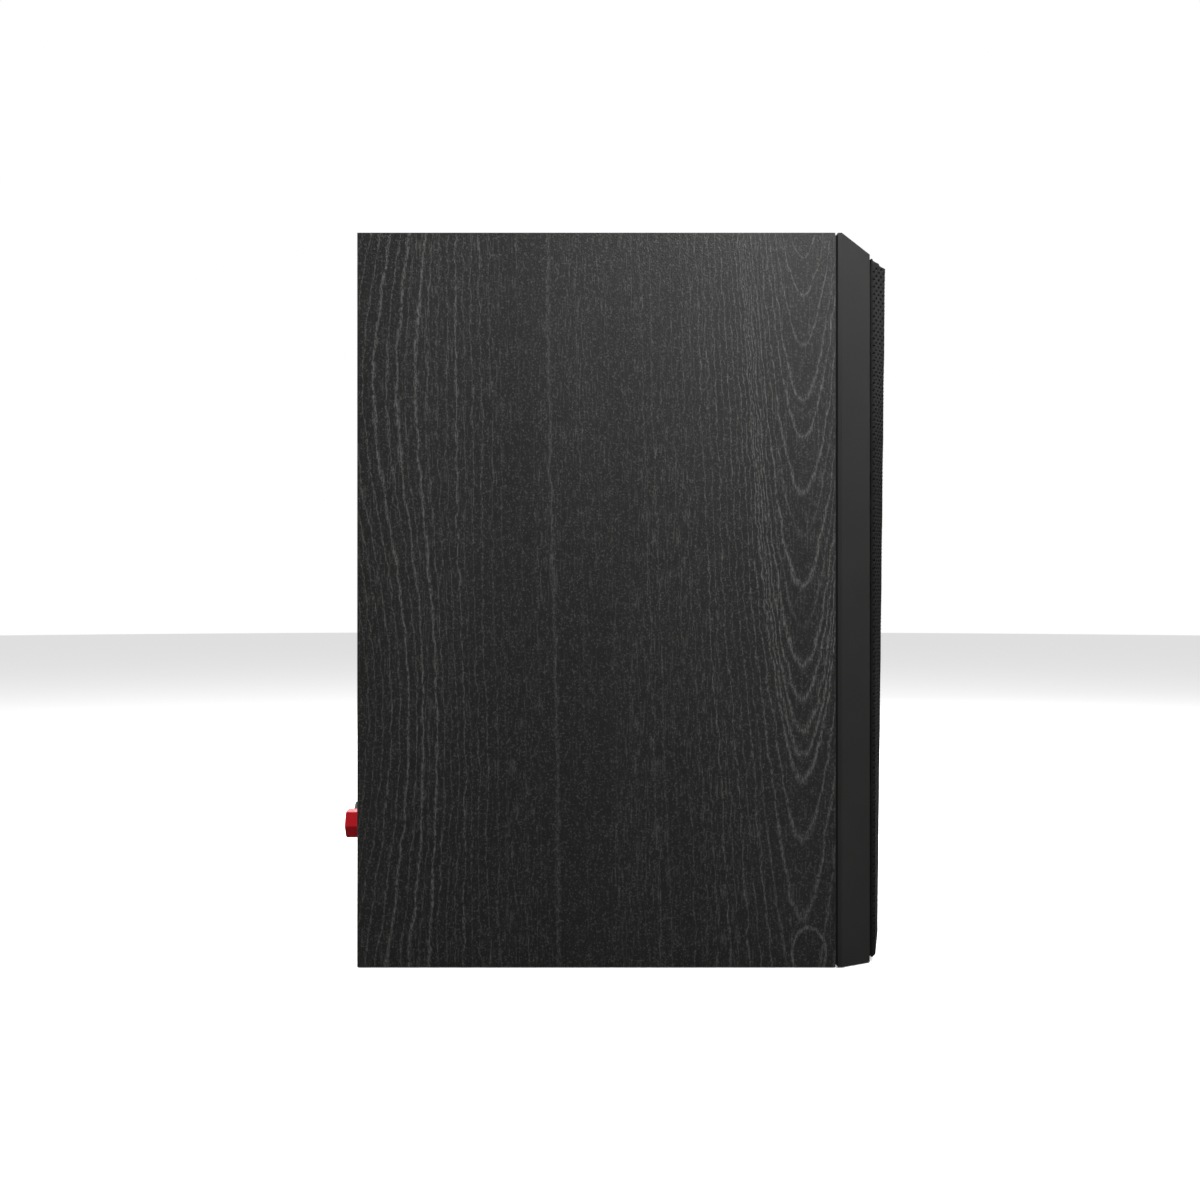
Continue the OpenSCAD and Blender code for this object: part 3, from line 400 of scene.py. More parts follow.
class Weave(Effect):
    """Threads over and under in two directions."""

    name = "weave"
    inlets = (("Vector", VECTOR, 0.0), ("Threads", VALUE, 2500.0))
    outlets = (("Height", VALUE), ("Mask", VALUE))

    def build(self, bench: NodeBench, inlet: Inlet, outlet: Outlet) -> None:
        """Two sine waves that take turns on top.

        Args:
            bench: The group's bench.
            inlet: Gives an input of the group by its name.
            outlet: Joins a value to an output by its name.
        """
        x, _, z = bench.split(inlet("Vector"))
        warp = bench.math("MULTIPLY", x, inlet("Threads"))
        weft = bench.math("MULTIPLY", z, inlet("Threads"))
        over = bench.math("MULTIPLY", bench.math("SINE", warp), bench.math("SINE", weft))
        uneven = bench.noise(inlet("Vector"), 900.0, 2.0)
        height = bench.math("ADD", bench.math("MULTIPLY", over, 0.4), uneven)
        outlet("Height", height)
        outlet("Mask", bench.remap(height, 0.2, 0.8))


class Winding(Effect):
    """Turns of wire side by side along the vector's Z."""

    name = "winding"
    inlets = (("Vector", VECTOR, 0.0), ("Turns", VALUE, 1500.0))
    outlets = (("Height", VALUE), ("Mask", VALUE))

    def build(self, bench: NodeBench, inlet: Inlet, outlet: Outlet) -> None:
        """Round ridges with a slow wander.

        Args:
            bench: The group's bench.
            inlet: Gives an input of the group by its name.
            outlet: Joins a value to an output by its name.
        """
        _, _, along = bench.split(inlet("Vector"))
        wander = bench.math("MULTIPLY", bench.noise(inlet("Vector"), 80.0, 1.0), 3.0)
        turns = bench.math("ADD", bench.math("MULTIPLY", along, bench.math(
            "MULTIPLY", inlet("Turns"), 2 * math.pi)), wander)
        ridge = bench.math("ABSOLUTE", bench.math("SINE", bench.math("MULTIPLY", turns, 0.5)))
        outlet("Height", ridge)
        outlet("Mask", bench.remap(ridge, 0.1, 0.6))


@dataclass(frozen=True)
class GrainLine:
    """One pale line of the ash figure: its place, half width and strength, in millimetres."""

    at: float
    half: float
    strength: float


class AshGrain(Effect):
    """Printed and embossed black ash: a pointed figure near one edge and straight lines beyond.

    Across and Along are in metres. The figure's middle is at Across = Middle, and its points
    look down Along.
    """

    name = "ash_grain"
    inlets = (("Across", VALUE, 0.0), ("Along", VALUE, 0.0), ("Middle", VALUE, -0.0876),
              ("Top", VALUE, 0.326), ("Fine", VALUE, 1.0))
    outlets = (("Lines", VALUE), ("Pores", VALUE), ("Height", VALUE))
    opening = 1.6
    power = 1.9
    wave_start = 0.318
    wave_length = 0.276
    swing = 8.0
    slow_drift = 5.0
    quick_drift = 3.6
    jag = 0.0032
    tip_power = 2.6
    knot_at = (-0.0902, 0.006)
    knot_size = (0.0073, 0.0112)
    margin = 1.4
    figure: tuple[tuple[GrainLine, ...], ...] = (
        (GrainLine(4, 0.4, 1), GrainLine(7.5, 0.3, 0.9), GrainLine(10.5, 0.28, 1),
         GrainLine(13.4, 0.28, 0.9), GrainLine(16, 0.3, 1), GrainLine(17.7, 0.28, 1),
         GrainLine(19.9, 0.3, 1), GrainLine(21.5, 0.25, 0.6), GrainLine(23.2, 0.32, 1)),
        (GrainLine(24.5, 0.25, 0.6), GrainLine(25.7, 0.3, 1), GrainLine(26.7, 0.26, 1),
         GrainLine(27.6, 0.26, 1), GrainLine(28.3, 0.24, 1), GrainLine(29, 0.3, 1),
         GrainLine(30.6, 0.25, 0.85), GrainLine(32.4, 0.3, 0.8), GrainLine(34.4, 0.28, 0.55)),
        (GrainLine(36.6, 0.28, 0.75), GrainLine(39, 0.28, 0.5), GrainLine(41.6, 0.3, 0.75),
         GrainLine(44.6, 0.3, 0.5), GrainLine(47.2, 0.3, 0.75), GrainLine(50.8, 0.28, 0.4),
         GrainLine(54, 0.28, 0.45), GrainLine(58.5, 0.3, 0.3), GrainLine(63, 0.3, 0.25)),
        (GrainLine(67, 0.4, 0.45), GrainLine(71, 0.35, 0.45), GrainLine(79, 0.3, 0.2),
         GrainLine(86, 0.35, 0.24), GrainLine(99, 0.4, 0.22), GrainLine(111, 1.2, 0.36),
         GrainLine(118, 0.3, 0.2), GrainLine(124, 0.35, 0.25), GrainLine(131.9, 0.35, 0.34)),
        (GrainLine(136, 0.35, 0.42), GrainLine(140.5, 0.4, 0.6), GrainLine(144.2, 0.35, 0.55),
         GrainLine(147.4, 0.3, 0.5), GrainLine(150.4, 0.5, 0.8), GrainLine(153.8, 0.35, 0.6),
         GrainLine(157.2, 0.35, 0.5), GrainLine(160.5, 0.45, 0.6), GrainLine(163.9, 0.9, 1)),
        (GrainLine(167.6, 0.4, 0.5), GrainLine(170.6, 0.8, 0.95), GrainLine(174, 0.5, 0.65),
         GrainLine(178.6, 0.9, 1), GrainLine(183, 0.5, 0.7), GrainLine(187.5, 0.5, 0.7),
         GrainLine(191.5, 0.45, 0.55), GrainLine(195, 0.4, 0.5), GrainLine(198.3, 0.4, 0.5)),
    )

    def ramp(self, bench: NodeBench, rings: object,
             lines: Sequence[GrainLine]) -> Socket:
        """Draws some lines as a colour ramp over their own part of the figure.

        Args:
            bench: The group's bench.
            rings: Place in the figure, in millimetres.
            lines: The lines, in order.

        Returns:
            The lines' strength.
        """
        low = lines[0].at - self.margin
        span = lines[-1].at + self.margin - low
        node = bench.add("ValToRGB")
        bench.feed(node.inputs[0], bench.math("DIVIDE", bench.math("SUBTRACT", rings, low), span))
        stops = node.color_ramp.elements
        stops[0].position, stops[0].color = 0.0, (0, 0, 0, 1)
        stops[1].position, stops[1].color = 1.0, (0, 0, 0, 1)
        for line in lines:
            for shift, level in ((-line.half, 0.0), (0.0, line.strength), (line.half, 0.0)):
                stop = stops.new((line.at + shift - low) / span)
                stop.color = (level, level, level, 1)
        return node.outputs[0]

    def build(self, bench: NodeBench, inlet: Inlet, outlet: Outlet) -> None:
        """Place in the figure, then its lines, pores and relief.

        Args:
            bench: The group's bench.
            inlet: Gives an input of the group by its name.
            outlet: Joins a value to an output by its name.
        """
        across, along = inlet("Across"), inlet("Along")
        flat = bench.vector(across, along, 0.0)
        off = bench.math("ABSOLUTE", bench.math("SUBTRACT", across, inlet("Middle")))
        ragged = self.streaks(bench, flat, (260.0, 90.0))
        jagged = bench.math("ADD", off, self.around_zero(bench, ragged, self.jag))
        edge = bench.math("ABSOLUTE", jagged)
        down = bench.math("MULTIPLY", bench.math("SUBTRACT", inlet("Top"), along), 1 / MM)
        rings = bench.math("ADD", self.rings(bench, across, along, edge, down),
                           self.drift(bench, flat, off))
        total: object = 0.0
        for lines in self.figure:
            total = bench.math("ADD", total, self.ramp(bench, rings, lines))
        tip = bench.remap(edge, 0.0, 0.007, self.tip_power, 1.0)
        total = bench.math("POWER", bench.math("MINIMUM", total, 1.0), tip)
        total = bench.math("MAXIMUM", total, self.knot(bench, across, along))
        fibre = self.streaks(bench, flat, (1900.0, 420.0), roughness=0.75)
        drawn = bench.math("MULTIPLY", total, bench.remap(fibre, 0.43, 0.57, 0.05, 1.0))
        dashes = self.streaks(bench, flat, (1300.0, 110.0), roughness=0.65)
        sparse = bench.remap(self.streaks(bench, flat, (45.0, 4.0)), 0.35, 0.68, 0.15, 1.0)
        pores = bench.math("MULTIPLY", bench.remap(dashes, 0.5, 0.7), sparse)
        pores = bench.math("MULTIPLY", pores, inlet("Fine"))
        outlet("Lines", drawn)
        outlet("Pores", pores)
        outlet("Height", bench.math("ADD", bench.math("MULTIPLY", drawn, 0.6),
                                    bench.math("MULTIPLY", pores, 0.4)))

    def streaks(self, bench: NodeBench, flat: object, per_metre: tuple[float, float],
                detail: float = 3.0, roughness: float = 0.6) -> Socket:
        """Noise drawn out along the sheet.

        Args:
            bench: The group's bench.
            flat: The sheet's own coordinates.
            per_metre: Features per metre across and along.
            detail: Octaves.
            roughness: Share of each finer octave.

        Returns:
            The noise, about 0.5 on average.
        """
        drawn = bench.stretched(flat, (*per_metre, 1.0))
        return bench.noise(drawn, 1.0, detail, roughness)

    def around_zero(self, bench: NodeBench, noise: object, size: float) -> Socket:
        """A noise moved to lie around zero and given a size."""
        return bench.math("MULTIPLY", bench.math("SUBTRACT", noise, 0.5), size)

    def rings(self, bench: NodeBench, across: object, along: object, edge: object,
              down: object) -> Socket:
        """Place in the figure: nested arches near its middle and waving lines far from it.

        Args:
            bench: The group's bench.
            across: Across, in metres.
            along: Along, in metres.
            edge: Distance from the figure's middle, in metres.
            down: Distance down from the figure's top, in millimetres.

        Returns:
            The place, in millimetres.
        """
        side = bench.math("POWER", bench.math("DIVIDE", edge, self.opening * MM), self.power)
        arch = bench.math("MAXIMUM", bench.math("ADD", side, down), 0.01)
        arch = bench.math("MULTIPLY", bench.math("POWER", arch, 1 / self.power), self.opening)
        wave = bench.math("SINE", bench.math("MULTIPLY", bench.math(
            "SUBTRACT", self.wave_start, along), 2 * math.pi / self.wave_length))
        swing = bench.remap(across, 0.05, 0.102, 0.0, self.swing)
        return bench.math("SUBTRACT", arch, bench.math("MULTIPLY", swing, wave))

    def drift(self, bench: NodeBench, flat: object, off: object) -> Socket:
        """How far the lines wander, less so at the figure's middle.

        Args:
            bench: The group's bench.
            flat: The sheet's own coordinates.
            off: Distance from the figure's middle, in metres.

        Returns:
            The wander, in millimetres.
        """
        slow = self.streaks(bench, flat, (18.0, 9.0), 2.0, 0.5)
        quick = self.streaks(bench, flat, (110.0, 60.0), 4.0, 0.65)
        both = bench.math("ADD", self.around_zero(bench, slow, self.slow_drift),
                          self.around_zero(bench, quick, self.quick_drift))
        return bench.math("MULTIPLY", both, bench.remap(off, 0.002, 0.035, 0.15, 1.0))

    def knot(self, bench: NodeBench, across: object, along: object) -> Socket:
        """A small arched knot near the foot of the figure.

        Args:
            bench: The group's bench.
            across: Across, in metres.
            along: Along, in metres.

        Returns:
            The knot's strength.
        """
        squares = [bench.math("POWER", bench.math("DIVIDE", bench.math(
            "SUBTRACT", place, middle), size), 2.0)
            for place, middle, size in zip((across, along), self.knot_at, self.knot_size)]
        ring = bench.math("ABSOLUTE", bench.math("SUBTRACT", bench.math(
            "SQRT", bench.math("ADD", *squares)), 1.0))
        return bench.remap(ring, 0.0, 0.14, 0.8, 0.0)


# ---- finishes --------------------------------------------------------------------------------


class Relief(Enum):
    """What gives a finish its texture."""

    STIPPLE = "stipple"
    BRUSHED = "brushed"
    WOVEN = "woven"
    WOUND = "wound"
    FIBRE = "fibre"
    SMOOTH = "smooth"


DUST = (0.32, 0.30, 0.28)


@dataclass(frozen=True)
class Finish:
    """One finish of the speaker: its colours, its shine and its relief."""

    name: str
    colour: Colour
    second: Colour
    rough: float = 0.5
    rough_swing: float = 0.08
    metallic: float = 0.0
    relief: Relief = Relief.STIPPLE
    scale: float = 900.0
    depth: float = 0.12
    contrast: float = 0.5
    coat: float = 0.0
    sheen: float = 0.0
    specular: float = 0.5
    wear: float = 0.0
    wear_colour: Colour = (0.2, 0.19, 0.18)
    dust: float = 0.0
    turn: Point = (0.0, 0.0, 0.0)
    see_through: float = 0.0
    broad_scale: float = 35.0
    broad_share: float = 0.25
    coat_rough: float = 0.12
    relief_height: float = 0.0004

    def mapped(self, bench: NodeBench) -> Socket:
        """Object coordinates, turned so that the finish runs the right way.

        Args:
            bench: The material's bench.

        Returns:
            The coordinates.
        """
        where = bench.add("TexCoord").outputs["Object"]
        if self.turn == (0.0, 0.0, 0.0):
            return where
        node = bench.add("Mapping")
        bench.feed(node.inputs["Vector"], where)
        node.inputs["Rotation"].default_value = tuple(math.radians(a) for a in self.turn)
        return node.outputs[0]

    def texture(self, bench: NodeBench, where: object) -> tuple[object, object]:
        """The relief's height and mask.

        Args:
            bench: The material's bench.
            where: The coordinates.

        Returns:
            Height and mask sockets.
        """
        if self.relief is Relief.BRUSHED:
            out = Brushing().place(bench, Vector=where, Scale=self.scale)
        elif self.relief is Relief.WOVEN:
            out = Weave().place(bench, Vector=where, Threads=self.scale)
        elif self.relief is Relief.WOUND:
            out = Winding().place(bench, Vector=where, Turns=self.scale)
        elif self.relief is Relief.FIBRE:
            drawn = bench.stretched(where, (1.0, 0.35, 1.0))
            out = Stipple().place(bench, Vector=drawn, Scale=self.scale, Patches=60.0)
        else:
            out = Stipple().place(bench, Vector=where, Scale=self.scale)
        return out("Height"), out("Mask")

    def material(self) -> bpy.types.Material:
        """The finish as a Blender material, made once.

        Returns:
            The material.
        """
        made = bpy.data.materials.get(self.name)
        if made:
            return made
        made = bpy.data.materials.new(self.name)
        made.use_nodes = True
        made.diffuse_color = (*self.colour, 1.0)
        bench = NodeBench(made.node_tree)
        shader = made.node_tree.nodes["Principled BSDF"]
        where = self.mapped(bench)
        height, mask = self.texture(bench, where)
        broad = bench.noise(where, self.broad_scale, 3.0)
        share = bench.math("MULTIPLY", mask, self.contrast)
        colour = bench.blend(share, self.colour, self.second)
        tone = bench.remap(broad, 0.3, 0.7, 0.0, self.broad_share)
        colour = bench.blend(tone, colour, self.second)
        if self.wear:
            worn = EdgeWear().place(bench, Vector=where, Amount=self.wear)("Mask")
            colour = bench.blend(worn, colour, self.wear_colour)
        if self.dust:
            film = Dust().place(bench, Vector=where, Amount=self.dust)("Mask")
            colour = bench.blend(film, colour, DUST)
        bench.feed(shader.inputs["Base Color"], colour)
        rough = bench.remap(mask, 0.0, 1.0, self.rough - self.rough_swing,
                            self.rough + self.rough_swing, smooth=False)
        bench.feed(shader.inputs["Roughness"], rough)
        shader.inputs["Metallic"].default_value = self.metallic
        shader.inputs["Coat Weight"].default_value = self.coat
        shader.inputs["Coat Roughness"].default_value = self.coat_rough
        shader.inputs["Sheen Weight"].default_value = self.sheen
        shader.inputs["Specular IOR Level"].default_value = self.specular
        if self.see_through:
            shader.inputs["Subsurface Weight"].default_value = self.see_through
            shader.inputs["Subsurface Scale"].default_value = 0.002
        bump = bench.add("Bump")
        bump.inputs["Strength"].default_value = self.depth
        bump.inputs["Distance"].default_value = self.relief_height
        bench.feed(bump.inputs["Height"], height)
        bench.feed(shader.inputs["Normal"], bump.outputs[0])
        return made


class VinylFace(Enum):
    """The panel that a piece of wrap lies on, which sets how its figure runs."""

    LEFT = "left"
    RIGHT = "right"
    TOP = "top"
    BOTTOM = "bottom"


@dataclass(frozen=True)
class AshVinyl:
    """The black ash wrap of the cabinet: its figure, its colours and how strongly they show."""

    face: VinylFace
    half_width: float = CAD_BOX[1][0]
    height: float = CAD_BOX[1][2]
    lines: float = 0.62
    pores: float = 0.26
    fine: float = 0.24
    fine_scale: float = 1250.0
    specular: float = 0.3
    bump_strength: float = 0.7
    bump_height: float = 0.0003
    left_shift: float = -0.00075
    right_shift: float = 0.011
    right_start: float = 0.93
    top_shift: float = -0.004
    base: Colour = (0.0088, 0.0083, 0.0080)
    deep: Colour = (0.0058, 0.0055, 0.0053)
    pale: Colour = (0.165, 0.161, 0.156)
    dust: float = 0.08
    dust_colour: Colour = (0.3, 0.29, 0.27)

    def place(self, bench: NodeBench) -> tuple[object, object]:
        """Across and Along on this panel's wrap.

        Args:
            bench: The material's bench.

        Returns:
            The two sockets, in metres.
        """
        x, y, z = bench.split(bench.add("TexCoord").outputs["Object"])
        if self.face is VinylFace.LEFT:
            edge = bench.math("ADD", x, self.half_width + self.left_shift)
            return bench.math("ADD", y, edge), z
        if self.face is VinylFace.RIGHT:
            edge = bench.math("SUBTRACT", self.half_width, x)
            return bench.math("ADD", y, bench.math("ADD", edge, self.right_shift)), bench.math(
                "SUBTRACT", self.height * self.right_start, z)
        if self.face is VinylFace.TOP:
            edge = bench.math("SUBTRACT", self.height, z)
            return bench.math("ADD", bench.math("ADD", y, edge), self.top_shift), bench.math(
                "ADD", x, self.height + self.half_width)
        return bench.math("ADD", y, z), bench.math("SUBTRACT", x, self.half_width)

    def material(self) -> bpy.types.Material:
        """The wrap's material for this panel.

        Returns:
            The material.
        """
        made = bpy.data.materials.new("ash_vinyl_" + self.face.value)
        made.use_nodes = True
        made.diffuse_color = (*self.base, 1.0)
        bench = NodeBench(made.node_tree)
        shader = made.node_tree.nodes["Principled BSDF"]
        where = bench.add("TexCoord").outputs["Object"]
        across, along = self.place(bench)
        figure = AshGrain().place(bench, Across=across, Along=along)
        fine = Stipple().place(bench, Vector=where, Scale=self.fine_scale, Patches=18.0)
        tone = bench.remap(bench.noise(bench.stretched(where, (20.0, 20.0, 4.0)), 1.0, 3.0),
                           0.3, 0.7)
        colour = bench.blend(tone, self.base, self.deep)
        colour = bench.blend(bench.math("MULTIPLY", fine("Mask"), self.fine), colour, self.pale)
        colour = bench.blend(bench.math("MULTIPLY", figure("Pores"), self.pores), colour, self.pale)
        colour = bench.blend(bench.math("MULTIPLY", figure("Lines"), self.lines), colour, self.pale)
        film = Dust().place(bench, Vector=where, Amount=self.dust)("Mask")
        colour = bench.blend(film, colour, self.dust_colour)
        bench.feed(shader.inputs["Base Color"], colour)
        bench.feed(shader.inputs["Roughness"], bench.remap(
            fine("Height"), 0.3, 0.7, 0.5, 0.62, smooth=False))
        shader.inputs["Specular IOR Level"].default_value = self.specular
        height = bench.math("ADD", bench.math("MULTIPLY", figure("Height"), -0.8),
                            bench.math("MULTIPLY", fine("Height"), 0.8))
        bump = bench.add("Bump")
        bump.inputs["Strength"].default_value = self.bump_strength
        bump.inputs["Distance"].default_value = self.bump_height
        bench.feed(bump.inputs["Height"], height)
        bench.feed(shader.inputs["Normal"], bump.outputs[0])
        return made


BACK_BOARD = Finish("black_back_board", (0.016, 0.015, 0.0145), (0.035, 0.034, 0.032), 0.62,
                    scale=700.0, depth=0.25, contrast=0.35, specular=0.3, dust=0.1)
RAW_BOARD = Finish("raw_fibre_board", (0.28, 0.19, 0.115), (0.4, 0.29, 0.19), 0.85, scale=600.0,
                   relief=Relief.FIBRE, depth=0.3, contrast=0.6, specular=0.2)
TRIM = Finish("moulded_trim", (0.0145, 0.014, 0.0136), (0.022, 0.0213, 0.0206), 0.58, 0.04,
              scale=2600.0, depth=0.05, contrast=0.18, specular=0.17, dust=0.03)
GRILLE_STEEL = Finish("grille_powder_coat", (0.006, 0.0058, 0.0057), (0.011, 0.0107, 0.0104), 0.6,
                      scale=2200.0, depth=0.1, contrast=0.35, specular=0.08)
FRAME_PLASTIC = Finish("grille_frame_plastic", (0.012, 0.012, 0.012), (0.025, 0.025, 0.025),
                       0.55, scale=1500.0, depth=0.1, contrast=0.3)
SOCKET_RUBBER = Finish("socket_rubber", (0.01, 0.01, 0.01), (0.022, 0.021, 0.02), 0.8,
                       scale=1200.0, depth=0.15, contrast=0.3, specular=0.25)
BASKET = Finish("basket_paint", (0.013, 0.0135, 0.014), (0.03, 0.031, 0.032), 0.42, 0.06,
                scale=1100.0, depth=0.12, contrast=0.3, wear=0.35)
GASKET = Finish("gasket_foam", (0.008, 0.008, 0.009), (0.02, 0.02, 0.022), 0.95, scale=2500.0,
                depth=0.5, contrast=0.5, specular=0.1, sheen=0.3)
MOTOR_STEEL = Finish("zinc_steel", (0.52, 0.51, 0.47), (0.62, 0.6, 0.52), 0.34, 0.08, 1.0,
                     Relief.BRUSHED, 500.0, 0.1, 0.5, turn=(0.0, 90.0, 0.0), wear=0.3,
                     wear_colour=(0.7, 0.69, 0.66))
FERRITE = Finish("ferrite", (0.03, 0.03, 0.033), (0.06, 0.06, 0.065), 0.6, scale=500.0,
                 depth=0.25, contrast=0.5, wear=0.5, wear_colour=(0.1, 0.1, 0.1))
TAG_BOARD = Finish("tag_board", (0.3, 0.17, 0.06), (0.38, 0.24, 0.1), 0.6, scale=800.0,
                   relief=Relief.FIBRE, depth=0.2)
SCREW_BLACK = Finish("blackened_screw", (0.02, 0.02, 0.021), (0.05, 0.05, 0.05), 0.36, 0.1, 0.6,
                     scale=1500.0, depth=0.1, contrast=0.4, wear=0.5,
                     wear_colour=(0.22, 0.21, 0.2))
SURROUND_RUBBER = Finish("surround_rubber", (0.011, 0.011, 0.0115), (0.02, 0.02, 0.02), 0.48,
                         0.06, scale=1800.0, depth=0.08, contrast=0.3, specular=0.4, dust=0.1)
SPIDER_CLOTH = Finish("spider_cloth", (0.5, 0.32, 0.09), (0.62, 0.43, 0.16), 0.8, scale=4200.0,
                      relief=Relief.WOVEN, depth=0.4, contrast=0.5, sheen=0.2)
TINSEL = Finish("tinsel_braid", (0.6, 0.36, 0.22), (0.75, 0.5, 0.32), 0.4, 0.1, 0.9,
                Relief.WOVEN, 6000.0, 0.4, 0.6)
CONE_PAPER = Finish("pressed_cone_paper", (0.017, 0.0172, 0.019), (0.034, 0.034, 0.036), 0.62,
                    0.08, relief=Relief.FIBRE, scale=1300.0, depth=0.35, contrast=0.55,
                    specular=0.3, dust=0.08)
CAP_PAPER = Finish("dust_cap_paper", (0.012, 0.012, 0.0135), (0.026, 0.026, 0.028), 0.55,
                   scale=1600.0, relief=Relief.FIBRE, depth=0.3, contrast=0.4, specular=0.35)
FORMER = Finish("coil_former_film", (0.55, 0.33, 0.06), (0.66, 0.44, 0.13), 0.3, scale=600.0,
                depth=0.05, contrast=0.4, coat=0.3)
COPPER = Finish("enamelled_wire", (0.62, 0.25, 0.09), (0.75, 0.36, 0.15), 0.26, 0.06, 0.9,
                Relief.WOUND, 1400.0, 0.6, 0.5, coat=0.4, turn=(90.0, 0.0, 0.0))
BOARD_COPPER = Finish("wound_inductor", (0.6, 0.24, 0.085), (0.74, 0.35, 0.14), 0.28, 0.06, 0.9,
                      Relief.WOUND, 900.0, 0.7, 0.5, coat=0.4)
FACEPLATE = Finish("faceplate_plastic", (0.014, 0.0142, 0.015), (0.026, 0.026, 0.027), 0.4,
                   0.04, scale=2400.0, depth=0.05, contrast=0.25, dust=0.06)
CHAMBER = Finish("chamber_plastic", (0.016, 0.016, 0.018), (0.03, 0.03, 0.032), 0.5,
                 scale=1400.0, depth=0.1, contrast=0.3)
TAB_BRASS = Finish("tinned_brass", (0.62, 0.55, 0.4), (0.7, 0.64, 0.52), 0.32, 0.08, 1.0,
                   Relief.BRUSHED, 700.0, 0.1, 0.4)
DOME_SILK = Finish("coated_silk", (0.022, 0.018, 0.015), (0.05, 0.043, 0.036), 0.5,
                   relief=Relief.WOVEN, scale=9000.0, depth=0.25, contrast=0.5, coat=0.2,
                   sheen=0.2)
PORT_PLASTIC = Finish("port_plastic", (0.0125, 0.0125, 0.0125), (0.026, 0.026, 0.026), 0.45,
                      0.05, scale=2200.0, depth=0.08, contrast=0.3, specular=0.4, dust=0.12)
PORT_CARD = Finish("port_card", (0.2, 0.13, 0.08), (0.3, 0.21, 0.14), 0.85, scale=500.0,
                   relief=Relief.FIBRE, depth=0.3, contrast=0.5, specular=0.2)
PLATE_PLASTIC = Finish("terminal_plate_plastic", (0.014, 0.014, 0.0145),
                       (0.03, 0.03, 0.03), 0.42, 0.05, scale=1700.0, depth=0.12,
                       contrast=0.3, dust=0.1)
STUD_BRASS = Finish("gold_plated_brass", (0.8, 0.56, 0.22), (0.86, 0.64, 0.3), 0.2, 0.05, 1.0,
                    Relief.BRUSHED, 900.0, 0.06, 0.4, turn=(90.0, 0.0, 0.0))
POST_RED = Finish("red_cap_plastic", (0.95, 0.009, 0.024), (1.0, 0.015, 0.034), 0.4, 0.03,
                  scale=900.0, depth=0.02, contrast=0.3, specular=0.2)
POST_BLACK = Finish("black_cap_plastic", (0.009, 0.009, 0.0095), (0.018, 0.018, 0.018), 0.22,
                    0.03, scale=900.0, depth=0.02, contrast=0.3, specular=0.4)
BOARD_GREEN = Finish("circuit_board", (0.03, 0.13, 0.04), (0.05, 0.2, 0.07), 0.35,
                     scale=140.0, depth=0.1, contrast=0.8, coat=0.3)
NYLON = Finish("white_nylon", (0.62, 0.6, 0.54), (0.7, 0.68, 0.62), 0.45, scale=1100.0,
               depth=0.06, contrast=0.3, see_through=0.2)
CAPACITOR = Finish("capacitor_sleeve", (0.02, 0.045, 0.11), (0.035, 0.07, 0.16), 0.35,
                   scale=500.0, depth=0.05, contrast=0.4, coat=0.3)
CERAMIC = Finish("resistor_cement", (0.66, 0.63, 0.56), (0.74, 0.72, 0.66), 0.75, scale=900.0,
                 depth=0.3, contrast=0.5)
LEAD_RED = Finish("red_insulation", (0.36, 0.03, 0.02), (0.44, 0.05, 0.035), 0.4, scale=700.0,
                  depth=0.06, contrast=0.3, coat=0.2)
LEAD_BLUE = Finish("blue_insulation", (0.03, 0.09, 0.27), (0.05, 0.13, 0.34), 0.4,
                   scale=700.0, depth=0.06, contrast=0.3, coat=0.2)
WADDING = Finish("polyester_wadding", (0.72, 0.71, 0.67), (0.84, 0.83, 0.8), 0.95,
                 relief=Relief.FIBRE, scale=900.0, depth=0.8, contrast=0.7, specular=0.1,
                 sheen=0.5)


# ---- mesh helpers ----------------------------------------------------------------------------


def make_piece(name: str, points: np.ndarray, faces: Iterable[Sequence[int]], finish: Finish,
               smooth: bool = True) -> bpy.types.Object:
    """Makes one mesh piece.

    Args:
        name: The piece's name.
        points: Its vertices in metres.
        faces: Its faces as vertex numbers.
        finish: The finish it gets.
        smooth: Whether its faces are shaded smooth.

    Returns:
        The new object.
    """
    mesh = bpy.data.meshes.new(name)
    mesh.from_pydata(np.asarray(points, float).tolist(), [], [tuple(f) for f in faces])
    mesh.validate()
    mesh.update()
    mesh.polygons.foreach_set("use_smooth", [smooth] * len(mesh.polygons))
    piece = bpy.data.objects.new(name, mesh)
    bpy.context.scene.collection.objects.link(piece)
    mesh.materials.append(finish.material())
    LOG.info("piece %s: %d faces", name, len(mesh.polygons))
    return piece


def keep_sharp(piece: bpy.types.Object, degrees: float = 35.0) -> None:
    """Keeps edges sharper than an angle crisp in a smooth-shaded piece."""
    piece.data.set_sharp_from_angle(angle=math.radians(degrees))


def rounded(route: Sequence[Point], steps: int = 6) -> np.ndarray:
    """A smooth curve through points.

    Args:
        route: The points.
        steps: Points made for each stretch.

    Returns:
        The curve's points, the first and last of the route included.
    """
    way = np.array(route, float)
    ends = np.vstack([2 * way[0] - way[1], way, 2 * way[-1] - way[-2]])
    out = []
    for i in range(1, len(ends) - 2):
        a, b, c, d = ends[i - 1:i + 3]
        for t in np.linspace(0, 1, steps, endpoint=False):
            out.append(0.5 * (2 * b + (c - a) * t + (2 * a - 5 * b + 4 * c - d) * t ** 2
                              + (3 * b - a - 3 * c + d) * t ** 3))
    out.append(way[-1])
    return np.array(out)


